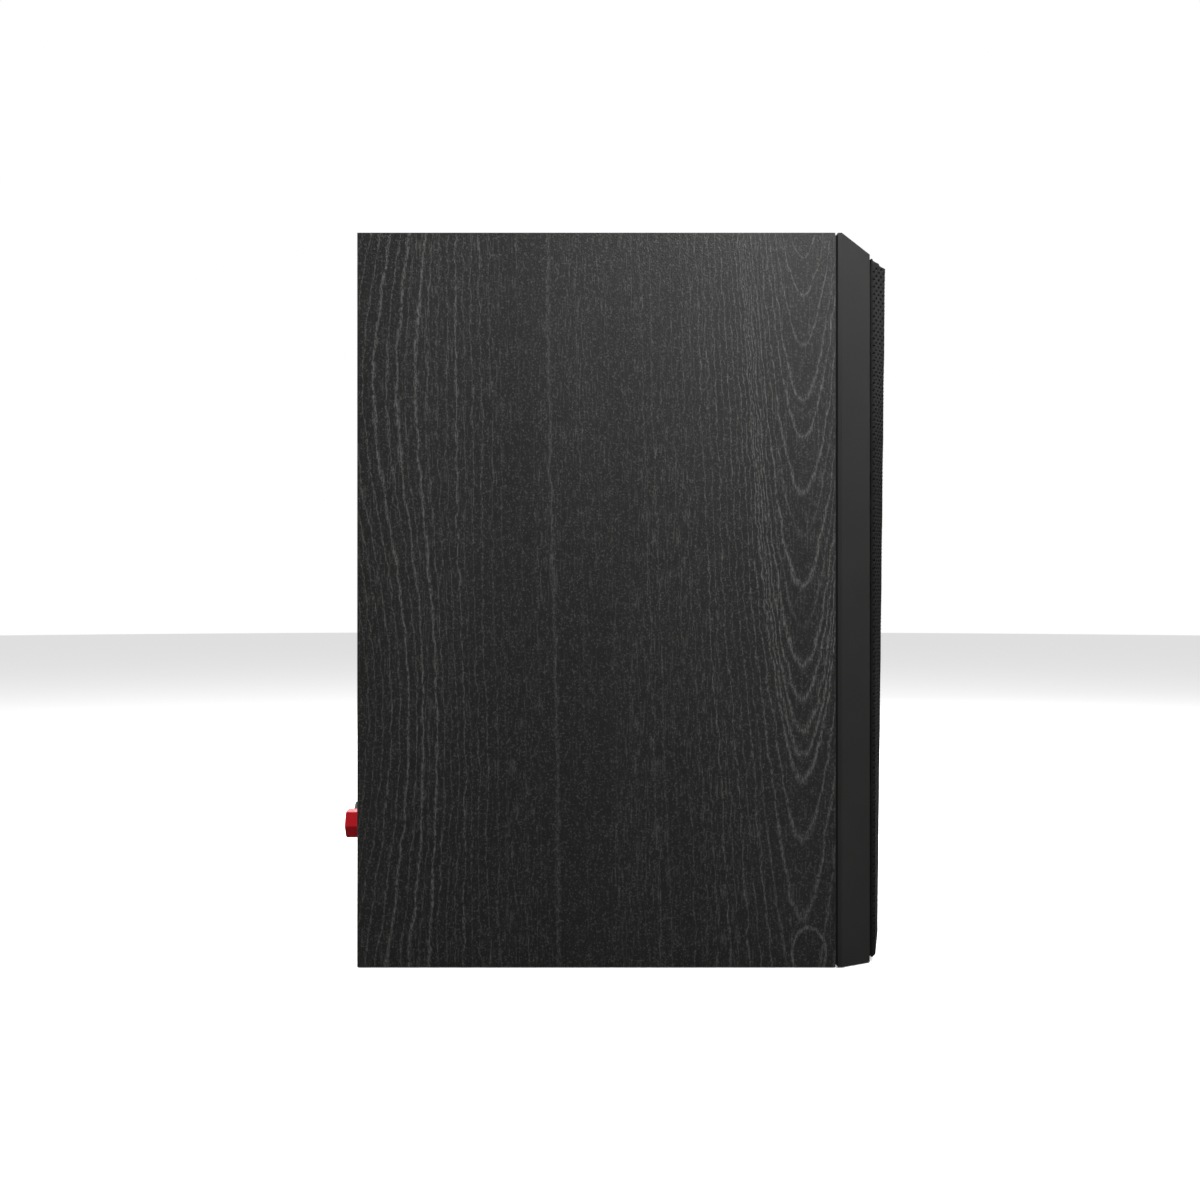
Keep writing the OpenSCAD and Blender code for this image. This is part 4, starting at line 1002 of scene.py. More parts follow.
def tube(way: np.ndarray, radius: float, sides: int = 12, first: int = 0
         ) -> tuple[np.ndarray, Skin]:
    """A round tube along a line, with closed ends.

    Args:
        way: The line's points.
        radius: The tube's radius.
        sides: Corners of its section.
        first: Number of the first vertex.

    Returns:
        Vertices and faces.
    """
    along = np.gradient(way, axis=0)
    along /= np.linalg.norm(along, axis=1)[:, None]
    side = np.cross(along[0], [1.0, 0.0, 0.0])
    if np.linalg.norm(side) < 0.1:
        side = np.cross(along[0], [0.0, 0.0, 1.0])
    rows = []
    for here, forward in zip(way, along):
        side = side - forward * (side @ forward)
        side /= np.linalg.norm(side)
        up = np.cross(forward, side)
        turn = np.arange(sides) * 2 * math.pi / sides
        rows.append(here + radius * (np.cos(turn)[:, None] * side + np.sin(turn)[:, None] * up))
    points = np.vstack(rows)
    faces: Skin = []
    for i in range(len(way) - 1):
        for j in range(sides):
            k = (j + 1) % sides
            faces.append((first + i * sides + j, first + (i + 1) * sides + j,
                          first + (i + 1) * sides + k, first + i * sides + k))
    faces.append(tuple(first + j for j in range(sides)))
    faces.append(tuple(first + (len(way) - 1) * sides + j for j in reversed(range(sides))))
    return points, faces


def lathe(profile: Sequence[tuple[float, float]], middle: tuple[float, float], front: float,
          segments: int = 160) -> tuple[np.ndarray, Skin]:
    """A closed ring made by turning a closed profile about an axis along Y.

    Args:
        profile: (radius, forwards) points in millimetres, in order round the section.
        middle: X and Z of the axis, in metres.
        front: Y of forwards = 0, in metres.
        segments: Steps round the turn.

    Returns:
        Vertices and faces.
    """
    section = np.array(profile, float) * MM
    turn = np.arange(segments) * 2 * math.pi / segments
    x = middle[0] + section[None, :, 0] * np.cos(turn)[:, None]
    z = middle[1] + section[None, :, 0] * np.sin(turn)[:, None]
    y = np.broadcast_to(front - section[None, :, 1], x.shape)
    points = np.stack([x, y, z], axis=2).reshape(-1, 3)
    count = len(section)
    faces = []
    for i in range(segments):
        a, b = i * count, (i + 1) % segments * count
        for j in range(count):
            k = (j + 1) % count
            faces.append((a + j, a + k, b + k, b + j))
    return points, faces


def sheet_profile(line: Sequence[tuple[float, float]], thick: float) -> Section:
    """A closed section from an open line and a thickness.

    Args:
        line: The line's (radius, forwards) points.
        thick: Thickness of the sheet.

    Returns:
        Points round the section.
    """
    way = np.array(line, float)
    along = np.gradient(way, axis=0)
    along /= np.linalg.norm(along, axis=1)[:, None]
    across = np.stack([-along[:, 1], along[:, 0]], axis=1) * thick / 2
    return [tuple(p) for p in way + across] + [tuple(p) for p in (way - across)[::-1]]


def depths(node: str) -> tuple[float, float]:
    """Front and back of a node, in millimetres forwards of the baffle board's face."""
    low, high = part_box(node)
    return FRONT - low.y / MM, FRONT - high.y / MM


def half_width(node: str) -> float:
    """Half the width of a node, in millimetres."""
    low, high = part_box(node)
    return (high.x - low.x) / 2 / MM


def half_roll(middle: float, radius: float, seat: float, rise: float, steps: int) -> Section:
    """An arch seen in section, from its inner foot to its outer one.

    Args:
        middle: Distance of the arch's middle from the axis.
        radius: Half its width.
        seat: Forwards of its feet.
        rise: Its height.
        steps: Number of its points.

    Returns:
        Its (radius, forwards) points.
    """
    return [(middle + radius * math.cos(a), seat + rise * math.sin(a))
            for a in np.linspace(math.pi, 0, steps)]


def dress(finishes: dict[str, Finish | AshVinyl]) -> None:
    """Gives CAD nodes their finishes.

    Args:
        finishes: The finish for each node's name.
    """
    for node, finish in finishes.items():
        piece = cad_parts[node]
        piece.data.materials.clear()
        piece.data.materials.append(finish.material())
        LOG.info("piece %s: %s", node, piece.data.materials[0].name)


def soften(node: str, width: float, degrees: float = 35.0, segments: int = 2) -> None:
    """Rounds the sharp edges of a CAD node a little.

    Args:
        node: The node's name.
        width: Width of the rounding in millimetres.
        degrees: Edges sharper than this are rounded.
        segments: Steps of the rounding.
    """
    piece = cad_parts[node]
    join = piece.modifiers.new("join", "WELD")
    join.merge_threshold = 1e-6
    bevel = piece.modifiers.new("round_edges", "BEVEL")
    bevel.width = width * MM
    bevel.segments = segments
    bevel.limit_method = "ANGLE"
    bevel.angle_limit = math.radians(degrees)
    bevel.harden_normals = True
    bevel.use_clamp_overlap = True


# ---- sub-assemblies --------------------------------------------------------------------------


@dataclass
class Cabinet:
    """The wrapped board cabinet with its brace, back panel and wadding."""

    edge_round: float = 0.12
    pad_thick: float = 12.0
    pad_step: float = 3.0
    pad_lumps: int = 26
    wraps: dict[str, VinylFace] = field(default_factory=lambda: {
        "side_panel_left": VinylFace.LEFT, "side_panel_right": VinylFace.RIGHT,
        "top_panel": VinylFace.TOP, "bottom_panel": VinylFace.BOTTOM})
    finishes: dict[str, Finish] = field(default_factory=lambda: {
        "back_panel": BACK_BOARD, "baffle_board": RAW_BOARD, "cabinet_brace": RAW_BOARD})

    def build(self) -> None:
        """Dresses the panels and makes the two fibre pads."""
        dress({panel: AshVinyl(face) for panel, face in self.wraps.items()})
        for panel in self.wraps:
            soften(panel, self.edge_round)
        dress(self.finishes)
        for side, name in ((-1, "wadding_left"), (1, "wadding_right")):
            self.pad(side, name)

    def fluff(self, grid_y: np.ndarray, grid_z: np.ndarray, seed: int) -> np.ndarray:
        """How far a pad stands out from its wall: crowned, with lumps.

        Args:
            grid_y: Y of each point of the pad, in millimetres.
            grid_z: Its Z.
            seed: Seed of the lumps.

        Returns:
            The height over the wall at each point, in millimetres.
        """
        rng = np.random.default_rng(seed)
        low_y, high_y, low_z, high_z = grid_y.min(), grid_y.max(), grid_z.min(), grid_z.max()
        edge = np.minimum(np.minimum(grid_y - low_y, high_y - grid_y),
                          np.minimum(grid_z - low_z, high_z - grid_z))
        crown = 1 - np.exp(-(edge + 1.0) / 5.0)
        lumps = np.zeros(grid_y.shape)
        for _ in range(self.pad_lumps):
            middle_y, middle_z = rng.uniform(low_y, high_y), rng.uniform(low_z, high_z)
            wide = rng.uniform(9, 22)
            lumps += rng.uniform(-0.8, 0.8) * np.exp(
                -((grid_y - middle_y) ** 2 + (grid_z - middle_z) ** 2) / wide ** 2)
        lumps += rng.normal(0, 0.12, grid_y.shape)
        return np.clip((self.pad_thick - 1.2) * crown + lumps, 0.8, self.pad_thick - 0.2)

    def pad(self, side: int, node: str) -> None:
        """Makes one pad of polyester wadding.

        Args:
            side: -1 for the left wall and 1 for the right.
            node: The CAD node it stands for.
        """
        low, high = (np.array(corner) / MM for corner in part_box(node))
        ys = np.arange(low[1] + 1, high[1] - 0.9, self.pad_step)
        zs = np.arange(low[2] + 1, high[2] - 0.9, self.pad_step)
        grid_y, grid_z = np.meshgrid(ys, zs, indexing="ij")
        rows, cols = shape = grid_y.shape
        front = self.fluff(grid_y, grid_z, 31 + side)
        wall = max(abs(low[0]), abs(high[0])) - 0.05
        inner = np.stack([side * (wall - front), grid_y, grid_z], 2).reshape(-1, 3)
        outer = np.stack([np.full(shape, side * wall), grid_y, grid_z], 2).reshape(-1, 3)
        faces: Skin = []
        for i in range(rows - 1):
            for j in range(cols - 1):
                a, b, c, d = (i * cols + j, (i + 1) * cols + j, (i + 1) * cols + j + 1,
                              i * cols + j + 1)
                faces.append((a, b, c, d) if side < 0 else (d, c, b, a))
                back = [v + rows * cols for v in (d, c, b, a)]
                faces.append(tuple(back) if side < 0 else tuple(reversed(back)))
        ring = ([(i, 0) for i in range(rows)] + [(rows - 1, j) for j in range(1, cols)]
                + [(i, cols - 1) for i in range(rows - 2, -1, -1)]
                + [(0, j) for j in range(cols - 2, 0, -1)])
        for (i, j), (k, m) in zip(ring, ring[1:] + ring[:1]):
            a, b = i * cols + j, k * cols + m
            quad = (b, a, a + rows * cols, b + rows * cols)
            faces.append(quad if side < 0 else tuple(reversed(quad)))
        pad = make_piece(node + "_fibre", np.vstack([inner, outer]) * MM, faces, WADDING)
        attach(pad, "cabinet")
        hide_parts(node)


@dataclass
class FrontTrim:
    """The moulded front surround that carries the drivers and the grille's sockets."""

    edge_round: float = 0.25
    socket_round: float = 0.2

    def build(self) -> None:
        """Dresses the trim and its rubber sockets."""
        dress({"front_trim": TRIM, "grille_sockets": SOCKET_RUBBER})
        soften("front_trim", self.edge_round, 30.0)
        soften("grille_sockets", self.socket_round)


CELL_EDGE = ((0, 0), (0, 1), (0, 2), (1, 2), (2, 2), (2, 1), (2, 0), (1, 0))


@dataclass
class Grille:
    """The bevelled perforated steel grille; lengths are in millimetres."""

    half_width: float = 83.0
    foot: float = 2.0
    head: float = 309.1
    face: float = FRONT - 16.5
    sheet: float = 0.8
    rim: float = 1.5
    rim_slope: float = 1.34
    rim_top: float = 3.0
    flat_out: float = 8.2
    crest_top: float = 5.0
    crest_grow: float = 17.0
    top_band: float = 3.2
    low_band: float = 6.0
    pitch: float = 1.63
    first_hole: float = 1.0
    hole_radius: float = 0.8
    exact_width: float = 25.0
    half_cells: int = 52
    parts: int = 4
    frame_round: float = 0.25

    def out(self, inset: np.ndarray, z: np.ndarray) -> np.ndarray:
        """How far the sheet stands out from the trim.

        Args:
            inset: Distance in from the nearer side edge.
            z: Height.

        Returns:
            The outward distance, of the same shape.
        """
        crest = self.crest(z)
        knee = (self.rim_top - self.rim) / self.rim_slope
        rising = self.rim + self.rim_slope * inset
        sloped = self.rim_top + (self.flat_out - self.rim_top) * (inset - knee) / (crest - knee)
        side = np.where(inset < knee, rising, sloped)
        top = self.rim + (self.flat_out - self.rim) / self.top_band * (self.head - z)
        low_turn = np.clip((z - self.foot) / self.low_band, 0, 1) * math.pi / 2
        low = self.rim + (self.flat_out - self.rim) * np.sin(low_turn)
        return np.minimum(np.minimum(side, top), np.minimum(low, self.flat_out))

    def crest(self, z: np.ndarray) -> np.ndarray:
        """Inset at which the side bevel meets the flat front."""
        share = (self.head - z) / (self.head - self.foot)
        return self.crest_top + self.crest_grow * share

    def inset_of(self, along: np.ndarray, z: np.ndarray) -> np.ndarray:
        """Turns a length along the bent section into an inset from the side edge.

        Args:
            along: Length along the section, in from the side edge.
            z: Height.

        Returns:
            The inset, of the same shape.
        """
        knee = (self.rim_top - self.rim) / self.rim_slope
        first = math.hypot(knee, self.rim_top - self.rim)
        crest = self.crest(z)
        second = np.hypot(crest - knee, self.flat_out - self.rim_top)
        on_rim = along / first * knee
        on_slope = knee + (along - first) / second * (crest - knee)
        on_flat = crest + along - first - second
        return np.where(along < first, on_rim, np.where(along < first + second, on_slope,
                                                        on_flat))

    def surface(self, u: np.ndarray, z: np.ndarray) -> np.ndarray:
        """Points of the sheet's outside.

        Args:
            u: Length from the left edge in half pitches, scaled so that the rows meet.
            z: Height.

        Returns:
            Points in millimetres, one row each.
        """
        lead = self.first_hole - self.pitch / 2
        whole = 2 * self.half_cells
        mirrored = u > whole + 1
        k = np.where(mirrored, 2 * (whole + 1) - u, u)
        plain = np.where(k < 1, k * lead, lead + (k - 1) * self.pitch / 2)
        crest = self.crest(z)
        knee = (self.rim_top - self.rim) / self.rim_slope
        total = (math.hypot(knee, self.rim_top - self.rim)
                 + np.hypot(crest - knee, self.flat_out - self.rim_top)
                 + self.half_width - crest)
        end = lead + whole * self.pitch / 2
        scale = (total - self.exact_width) / (end - self.exact_width)
        along = np.where(plain < self.exact_width, plain,
                         self.exact_width + (plain - self.exact_width) * scale)
        inset = self.inset_of(along, z)
        x = np.where(mirrored, self.half_width - inset, inset - self.half_width)
        return np.stack([x, self.face - self.out(inset, z), z], axis=-1)

    def rows(self) -> tuple[np.ndarray, int, int]:
        """The sheet's horizontal lines, two for each row of cells where it has holes.

        Returns:
            The lines' heights, and the first and the last line that has holes.
        """
        low = list(np.linspace(self.foot, self.foot + self.low_band, 13))
        high = self.head - self.top_band
        count = int((high - low[-1] - 0.4) / self.pitch)
        start = high - 0.2 - count * self.pitch
        lattice = [start + k * self.pitch / 2 for k in range(2 * count + 1)]
        top = [high, high + self.top_band / 2, self.head]
        heights = low + lattice + top
        return np.array(heights), len(low), len(low) + 2 * count

    def cells(self, index: np.ndarray, first: int, last: int, phase: int
              ) -> tuple[Skin, Skin, np.ndarray]:
        """Faces of one side of a strip, with an eight-sided hole in every other cell.

        Args:
            index: Vertex numbers of the strip's lines.
            first: The first line that has holes.
            last: The last line that has holes.
            phase: Row number of the first holed row.

        Returns:
            The faces, the edges round the holes, and each hole's middle as column and line.
        """
        columns = index.shape[1]
        faces: Skin = []
        for r in range(len(index) - 1):
            holed = first <= r < last
            for c in (0, columns - 2) if holed else range(columns - 1):
                faces.append((index[r, c], index[r, c + 1], index[r + 1, c + 1],
                              index[r + 1, c]))
        count = index.size
        edges: Skin = []
        middles: list[tuple[int, int]] = []
        for j, r in enumerate(range(first, last, 2)):
            for i, c in enumerate(range(1, columns - 2, 2)):
                around = [index[r + up, c + over] for up, over in CELL_EDGE]
                if (i + j + phase) % 2:
                    faces.append(tuple(around))
                    continue
                hole = list(range(count, count + len(CELL_EDGE)))
                count += len(CELL_EDGE)
                middles.append((c + 1, r + 1))
                for k, here in enumerate(hole):
                    m = (k + 1) % len(CELL_EDGE)
                    faces.append((around[k], around[m], hole[m], here))
                    edges.append((here, hole[m]))
        return faces, edges, np.array(middles)

    def strip(self, name: str, heights: np.ndarray, first: int, last: int,
              phase: int) -> bpy.types.Object:
        """Makes one horizontal strip of the sheet.

        Args:
            name: The strip's name.
            heights: Heights of its lines, two for each row of cells.
            first: The first line that has holes.
            last: The last line that has holes.
            phase: Row number of the first holed row.

        Returns:
            The strip.
        """
        columns = 4 * self.half_cells + 3
        index = np.arange(len(heights) * columns).reshape(len(heights), columns)
        u, z = np.meshgrid(np.arange(columns, dtype=float), heights)
        faces, edges, middles = self.cells(index, first, last, phase)
        turn = np.radians([225, 270, 315, 0, 45, 90, 135, 180])
        size = self.hole_radius / (self.pitch / 2)
        ring_u = middles[:, :1] + size * np.cos(turn)
        ring_z = heights[middles[:, 1:]] + self.hole_radius * np.sin(turn)
        outside = np.vstack([self.surface(u.ravel(), z.ravel()),
                             self.surface(ring_u.ravel(), ring_z.ravel())])
        points = np.vstack([outside, outside + np.array([0.0, self.sheet, 0.0])])
        for line in (index[:, 0], index[::-1, -1], index[0, ::-1], index[-1]):
            edges.extend(zip(line[:-1], line[1:]))
        total = len(outside)
        skin = faces + [tuple(v + total for v in reversed(face)) for face in faces]
        skin += [(a, b, b + total, a + total) for a, b in edges]
        used = np.zeros(len(points), bool)
        used[[v for face in skin for v in face]] = True
        number = (np.cumsum(used) - 1).tolist()
        skin = [tuple(number[v] for v in face) for face in skin]
        made = make_piece(name, points[used] * MM, skin, GRILLE_STEEL, False)
        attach(made, "grille")
        return made

    def build(self) -> None:
        """Makes the perforated sheet in strips and dresses its frame."""
        heights, first, last = self.rows()
        holed = (last - first) // 2
        cuts = [first + 2 * (holed * k // self.parts) for k in range(self.parts + 1)]
        for k in range(self.parts):
            low = 0 if k == 0 else cuts[k]
            high = len(heights) - 1 if k == self.parts - 1 else cuts[k + 1]
            strip = self.strip(f"grille_mesh_{k + 1}", heights[low:high + 1],
                               cuts[k] - low, cuts[k + 1] - low, (cuts[k] - first) // 2)
            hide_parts("grille_sheet")
        dress({"grille_frame": FRAME_PLASTIC})
        soften("grille_frame", self.frame_round)


@dataclass
class SoftRing:
    """A turned soft ring that joins a moving body to the cabinet."""

    name: str
    node: str
    moving: str
    height: float
    profile: Section
    fixed_radius: float
    moving_radius: float
    finish: Finish
    slot: str
    front: float = FRONT
    segments: int = 160

    def build(self) -> None:
        """Makes the ring in place of its solid."""
        points, faces = lathe(self.profile, (0.0, self.height * MM), self.front * MM,
                              self.segments)
        ring = make_piece(self.name, points, faces, self.finish)
        keep_sharp(ring, 50.0)
        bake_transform(ring)
        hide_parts(self.node)


@dataclass
class Woofer:
    """The woofer's basket, motor and moving parts."""

    height: float = 118.0
    roll_middle: float = 53.0
    roll_radius: float = 4.1
    roll_seat: float = 9.9
    thick: float = 0.8
    spider_outer: float = 38.0
    spider_inner: float = 12.8
    spider_land: float = 4.0
    spider_at: float = -22.0
    spider_waves: int = 7
    spider_rise: float = 1.5
    spider_cloth: float = 0.45
    cone_edge: float = 47.4
    surround_hold: tuple[float, float] = (57.1, 48.9)
    spider_hold: tuple[float, float] = (34.5, 14.5)
    clearance: float = 0.05
    tinsel_route: tuple[tuple[float, float], ...] = (
        (-16, 50), (-16, 47), (-15.4, 44), (-14.2, 40), (-13.8, 35), (-13.4, 30), (-12, 26.6),
        (-9.8, 23.8), (-7.57, 22))
    tinsel_x: float = 9.0
    tinsel_radius: float = 0.5
    tinsel_hold: tuple[float, float] = (46.0, 24.5)
    rounds: dict[str, float] = field(default_factory=lambda: {
        "woofer_basket": 0.4, "woofer_top_plate": 0.4, "woofer_magnet": 0.4,
        "woofer_yoke": 0.4, "woofer_screws": 0.15})
    finishes: dict[str, Finish] = field(default_factory=lambda: {
        "woofer_basket": BASKET, "woofer_gasket": GASKET, "woofer_top_plate": MOTOR_STEEL,
        "woofer_magnet": FERRITE, "woofer_yoke": MOTOR_STEEL, "woofer_terminal": TAG_BOARD,
        "woofer_screws": SCREW_BLACK, "woofer_surround": SURROUND_RUBBER,
        "woofer_spider": SPIDER_CLOTH, "tinsel_leads": TINSEL, "woofer_cone": CONE_PAPER,
        "dust_cap": CAP_PAPER, "woofer_former": FORMER, "woofer_winding": COPPER})

    def surround_line(self) -> Section:
        """The half roll between the cone's rim land and the clamped edge.

        Returns:
            The line's (radius, forwards) points.
        """
        outer, seat = half_width("woofer_surround"), self.roll_seat
        roll = half_roll(self.roll_middle, self.roll_radius, seat, self.roll_radius, 19)
        return [(self.cone_edge, seat), ((self.cone_edge + roll[0][0]) / 2, seat), *roll,
                ((outer + roll[-1][0]) / 2, seat), (outer - self.clearance, seat)]

    def spider_line(self) -> Section:
        """The corrugations between the former and the shelf.

        Returns:
            The line's (radius, forwards) points.
        """
        start, end = self.spider_inner + 0.5, self.spider_outer - self.spider_land
        radii = np.linspace(start, end, 8 * self.spider_waves + 1)
        phase = (radii - start) / (end - start) * self.spider_waves * 2 * math.pi
        rise = self.spider_rise * np.minimum(1, (radii - start) / 2.0) * 0.8
        line = [(self.spider_inner + self.clearance, self.spider_at)]
        line += [(float(r), self.spider_at + float(k * math.sin(p)))
                 for r, p, k in zip(radii, phase, rise)]
        return line + [(self.spider_outer - 2 * self.clearance, self.spider_at)]

    def build(self) -> None:
        """Dresses the solids and makes the surround, the spider and the tinsel leads."""
        dress(self.finishes)
        for node, width in self.rounds.items():
            soften(node, width)
        self.fit_surround()
        self.fit_spider()
        self.braid()

    def fit_surround(self) -> None:
        """Makes the rubber roll, kept behind the front of its solid."""
        profile = sheet_profile(self.surround_line(), self.thick)
        shift = min(0.0, depths("woofer_surround")[0] - max(f for _, f in profile))
        profile = [(r, f + shift) for r, f in profile]
        SoftRing("surround_roll", "woofer_surround", "woofer_cone", self.height, profile,
                 *self.surround_hold, SURROUND_RUBBER, "surround_rubber").build()

    def fit_spider(self) -> None:
        """Makes the corrugated cloth, kept within the depth of its solid."""
        front, back = depths("woofer_spider")
        middle, reach = (front + back) / 2, (front - back) / 2
        line = self.spider_line()
        biggest = max(abs(f - self.spider_at) for _, f in line)
        fit = min(1.0, (reach - 0.25) / biggest)
        line = [(r, middle + (f - self.spider_at) * fit) for r, f in line]
        SoftRing("spider_rings", "woofer_spider", "woofer_cone", self.height,
                 sheet_profile(line, self.spider_cloth), *self.spider_hold, SPIDER_CLOTH,
                 "spider_cloth").build()

    def braid(self) -> None:
        """Makes the two loose leads from the tags to the cone."""
        points, faces = [], []
        for x in (-self.tinsel_x, self.tinsel_x):
            way = rounded([(x, FRONT - f, self.height - drop)
                           for f, drop in self.tinsel_route]) * MM
            rows, skin = tube(way, self.tinsel_radius * MM, 10, sum(len(p) for p in points))
            points.append(rows)
            faces += skin
        everything = np.vstack(points)
        leads = make_piece("tinsel_pair", everything, faces, TINSEL)
        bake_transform(leads)
        still, driven = self.tinsel_hold
        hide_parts("tinsel_leads")


@dataclass
class Tweeter:
    """The dome tweeter with its horn-shaped faceplate."""

    height: float = 246.0
    roll_middle: float = 14.4
    roll_radius: float = 1.6
    thick: float = 0.4
    dome_edge: float = 12.75
    roll_hold: tuple[float, float] = (16.0, 12.85)
    clearance: float = 0.05
    rounds: dict[str, float] = field(default_factory=lambda: {
        "tweeter_faceplate": 0.3, "tweeter_chamber": 0.3, "tweeter_magnet": 0.3,
        "tweeter_screws": 0.12})
    finishes: dict[str, Finish] = field(default_factory=lambda: {
        "tweeter_faceplate": FACEPLATE, "tweeter_gasket": GASKET,
        "tweeter_top_plate": MOTOR_STEEL, "tweeter_magnet": FERRITE,
        "tweeter_yoke": MOTOR_STEEL, "tweeter_chamber": CHAMBER,
        "tweeter_screws": SCREW_BLACK, "tweeter_tabs": TAB_BRASS,
        "tweeter_surround": DOME_SILK, "tweeter_dome": DOME_SILK, "tweeter_coil": COPPER})

    def build(self) -> None:
        """Dresses the solids and makes the dome's roll."""
        dress(self.finishes)
        for node, width in self.rounds.items():
            soften(node, width)
        front, back = depths("tweeter_surround")
        seat = back + self.thick / 2
        rise = min(self.roll_radius, front - self.thick / 2 - seat)
        roll = half_roll(self.roll_middle, self.roll_radius, seat, rise, 15)
        outer = half_width("tweeter_surround") - self.clearance
        line = [(self.dome_edge, seat), *roll, ((outer + roll[-1][0]) / 2, seat), (outer, seat)]
        SoftRing("dome_roll", "tweeter_surround", "tweeter_dome", self.height,
                 sheet_profile(line, self.thick), *self.roll_hold, DOME_SILK, "dome_silk",
                 segments=128).build()


@dataclass(frozen=True)
class Lead:
    """One pair of insulated wires: how far each lies from the middle, and its (Y, Z) route."""

    apart: float
    route: tuple[tuple[float, float], ...]


@dataclass
class Leads:
    """The pairs of wires inside the cabinet, red on the left and blue on the right."""

    pairs: dict[str, Lead] = field(default_factory=lambda: {
        "input_leads": Lead(11.5, (
            (103.3, 39), (97, 39), (91, 37.6), (85, 35), (80, 31.6), (75, 29), (70, 27.6),
            (67, 26.4), (66, 24.4), (66, 22.6))),
        "woofer_leads": Lead(6.5, (
            (-76.4, 65.7), (-73.4, 65.7), (-68, 61), (-61, 53), (-52, 45), (-40, 38),
            (-28, 33), (-16, 30), (-6, 28.5), (0, 27.4), (2.4, 26), (3, 24.2), (3, 22.6))),
        "tweeter_leads": Lead(4.0, (
            (-102.9, 210.8), (-96, 210.8), (-88, 210.8), (-80, 210), (-70, 208.5),
            (-60, 205), (-50, 198), (-40, 188), (-30, 174), (-22, 154), (-16, 130),
            (-12, 105), (-8, 82), (-1, 61), (8, 46), (17, 35), (24, 29), (27.4, 26.4),
            (28, 24.2), (28, 22.6)))})

    def build(self) -> None:
        """Makes each pair of wires in place of its solid."""
        for node, lead in self.pairs.items():
            radius = half_width(node) - lead.apart
            for side, colour, finish in ((-1, "red", LEAD_RED), (1, "blue", LEAD_BLUE)):
                way = rounded([(side * lead.apart, y, z) for y, z in lead.route], 5) * MM
                points, faces = tube(way, radius * MM, 14)
                wire = make_piece(f"{node}_{colour}", points, faces, finish)
                keep_sharp(wire, 60.0)
                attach(wire, "cabinet")
                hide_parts(node)


@dataclass
class Crossover:
    """The crossover board and what is soldered on it."""

    finishes: dict[str, Finish] = field(default_factory=lambda: {
        "crossover_board": BOARD_GREEN, "board_standoffs": NYLON,
        "woofer_inductor": BOARD_COPPER, "tweeter_inductor": BOARD_COPPER,
        "capacitors": CAPACITOR, "resistors": CERAMIC})
    rounds: dict[str, tuple[float, int]] = field(default_factory=lambda: {
        "capacitors": (0.9, 3), "resistors": (0.4, 2), "woofer_inductor": (0.8, 3),
        "tweeter_inductor": (0.6, 3)})

    def build(self) -> None:
        """Dresses the parts and rounds their edges."""
        dress(self.finishes)
        for node, (width, segments) in self.rounds.items():
            soften(node, width, segments=segments)


@dataclass
class Rear:
    """The port, the terminal plate and the binding posts."""

    finishes: dict[str, Finish] = field(default_factory=lambda: {
        "port_flare": PORT_PLASTIC, "port_tube": PORT_CARD, "terminal_plate": PLATE_PLASTIC,
        "terminal_screws": SCREW_BLACK, "post_studs": STUD_BRASS, "stud_nuts": STUD_BRASS,
        "solder_lugs": TAB_BRASS, "red_collar": POST_RED, "red_cap": POST_RED,
        "black_collar": POST_BLACK, "black_cap": POST_BLACK, "red_washer": STUD_BRASS,
        "black_washer": STUD_BRASS})
    rounds: dict[str, float] = field(default_factory=lambda: {
        "red_cap": 0.1, "black_cap": 0.1, "red_collar": 0.1, "black_collar": 0.1,
        "port_flare": 0.3, "terminal_screws": 0.12, "stud_nuts": 0.15})

    def build(self) -> None:
        """Dresses the parts and rounds their edges."""
        dress(self.finishes)
        for node, width in self.rounds.items():
            soften(node, width)


@dataclass(frozen=True)
class Lamp:
    """One large soft light: where it hangs, what it points at, its width and its power."""

    name: str
    place: Point
    target: Point
    size: float
    watts: float

    def hang(self) -> None:
        """Puts the light in the scene, unseen by the camera."""
        data = bpy.data.lights.new(self.name, "AREA")
        data.shape = "DISK"
        data.size = self.size
        data.energy = self.watts
        light = bpy.data.objects.new(self.name, data)
        light.location = self.place
        light.visible_camera = False
        light.rotation_euler = (Vector(self.target) - Vector(self.place)).to_track_quat(
            "-Z", "Y").to_euler()
        bpy.context.scene.collection.objects.link(light)


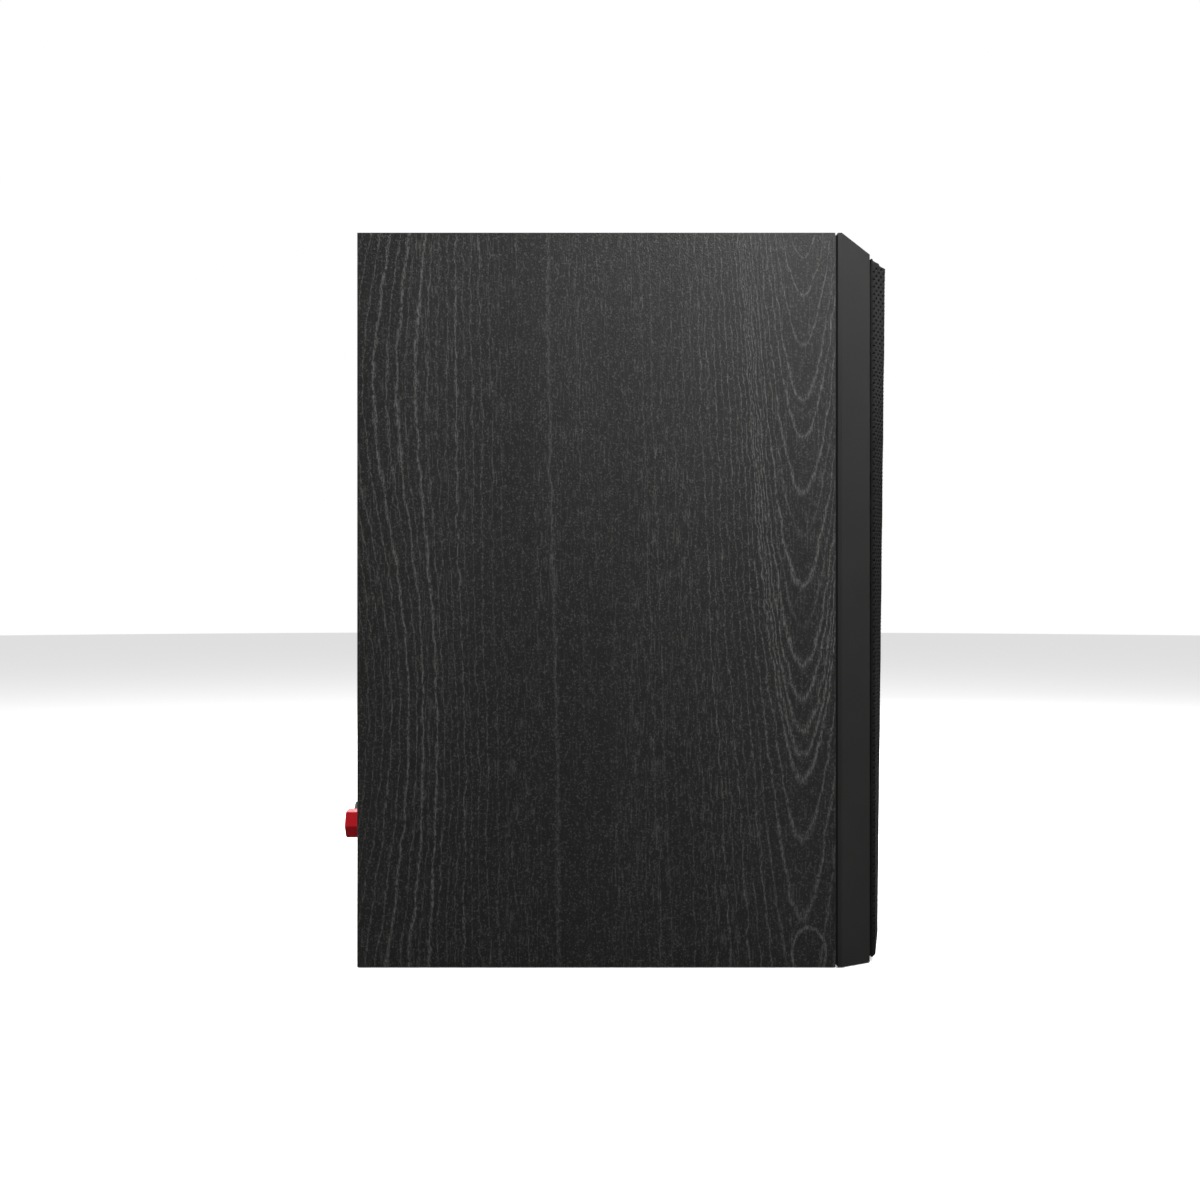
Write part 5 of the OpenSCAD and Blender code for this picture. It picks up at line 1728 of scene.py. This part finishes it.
@dataclass
class Studio:
    """Pale floor, soft light all round and the camera."""

    camera_at: Point = (-0.6725, 0.001, 0.159)
    lens: float = 40.2
    floor_radius: float = 6.0
    floor_sides: int = 96
    floor_drop: float = 0.0004
    floor_tone: float = 0.14
    floor_seen: float = 0.9
    floor_glow: float = 0.35
    zenith: float = 0.55
    horizon: float = 0.03
    below: float = 0.01
    lamps: tuple[Lamp, ...] = (
        Lamp("soft_top", (0.1, -0.1, 1.4), (0.0, 0.0, 0.15), 1.0, 12.0),
        Lamp("near_side", (-0.42, -0.22, 0.62), (-0.0925, -0.06, 0.3), 0.3, 5.0),
        Lamp("front", (0.12, -1.0, 0.75), (0.0, 0.0, 0.15), 0.7, 7.0),
        Lamp("far_side", (0.85, 0.2, 0.75), (0.0, 0.0, 0.15), 0.7, 9.0),
        Lamp("rear", (0.1, 1.1, 0.75), (0.0, 0.0, 0.12), 0.7, 9.0))

    def build(self) -> None:
        """Sets the world, the floor, the lights and the camera."""
        scene = bpy.context.scene
        scene.view_settings.view_transform = "Standard"
        scene.view_settings.look = "None"
        self.sky(scene)
        self.floor()
        for lamp in self.lamps:
            lamp.hang()
        self.camera(scene)

    def sky(self, scene: bpy.types.Scene) -> None:
        """A white backdrop for the camera and a soft gradient for everything else.

        Args:
            scene: The scene that gets the world.
        """
        world = bpy.data.worlds.new("soft_sky")
        world.use_nodes = True
        scene.world = world
        bench = NodeBench(world.node_tree)
        up = bench.split(bench.add("TexCoord").outputs["Generated"])[2]
        glow = bench.remap(up, 0.0, 0.9, self.horizon, self.zenith)
        under = bench.remap(up, -0.25, 0.0, self.below, 0.0)
        seen = bench.add("LightPath").outputs["Is Camera Ray"]
        back = world.node_tree.nodes["Background"]
        back.inputs["Color"].default_value = (1.0, 1.0, 1.0, 1.0)
        bench.feed(back.inputs["Strength"], bench.between(
            seen, bench.math("SUBTRACT", glow, under), 1.0))

    def floor(self) -> None:
        """A plain pale disc just under the feet of the cabinet."""
        turn = np.arange(self.floor_sides) * 2 * math.pi / self.floor_sides
        points = np.stack([self.floor_radius * np.cos(turn), self.floor_radius * np.sin(turn),
                           np.full(self.floor_sides, -self.floor_drop)], axis=1)
        mesh = bpy.data.meshes.new("floor")
        mesh.from_pydata(points.tolist(), [], [tuple(range(self.floor_sides))])
        disc = bpy.data.objects.new("floor", mesh)
        bpy.context.scene.collection.objects.link(disc)
        mesh.materials.append(self.floor_material())

    def floor_material(self) -> bpy.types.Material:
        """Pale to the camera and darker to every other ray.

        Returns:
            The material.
        """
        pale = bpy.data.materials.new("pale_floor")
        pale.use_nodes = True
        bench = NodeBench(pale.node_tree)
        shader = pale.node_tree.nodes["Principled BSDF"]
        seen = bench.add("LightPath").outputs["Is Camera Ray"]
        bench.feed(shader.inputs["Base Color"], bench.blend(
            seen, (self.floor_tone,) * 3, (self.floor_seen,) * 3))
        shader.inputs["Roughness"].default_value = 0.9
        shader.inputs["Specular IOR Level"].default_value = 0.0
        shader.inputs["Emission Color"].default_value = (1.0, 1.0, 1.0, 1.0)
        bench.feed(shader.inputs["Emission Strength"], bench.between(
            seen, 0.0, self.floor_glow))
        return pale

    def camera(self, scene: bpy.types.Scene) -> None:
        """Puts the camera square to the cabinet's left side.

        Args:
            scene: The scene that gets the camera.
        """
        data = bpy.data.cameras.new("camera")
        data.sensor_width = 36.0
        data.lens = self.lens
        data.clip_start, data.clip_end = 0.01, 50.0
        eye = bpy.data.objects.new("camera", data)
        eye.location = self.camera_at
        eye.rotation_euler = (math.radians(90), 0.0, math.radians(-90))
        scene.collection.objects.link(eye)
        scene.camera = eye


def main() -> None:
    """Builds and dresses every sub-assembly, then the studio."""
    logging.basicConfig(level=logging.INFO, format="%(name)s: %(message)s")
    for assembly in (Cabinet(), FrontTrim(), Grille(), Woofer(), Tweeter(), Crossover(),
                     Leads(), Rear(), Studio()):
        assembly.build()
        LOG.info("%s is built", type(assembly).__name__)
    bpy.context.view_layer.update()


if __name__ == "__main__":
    main()
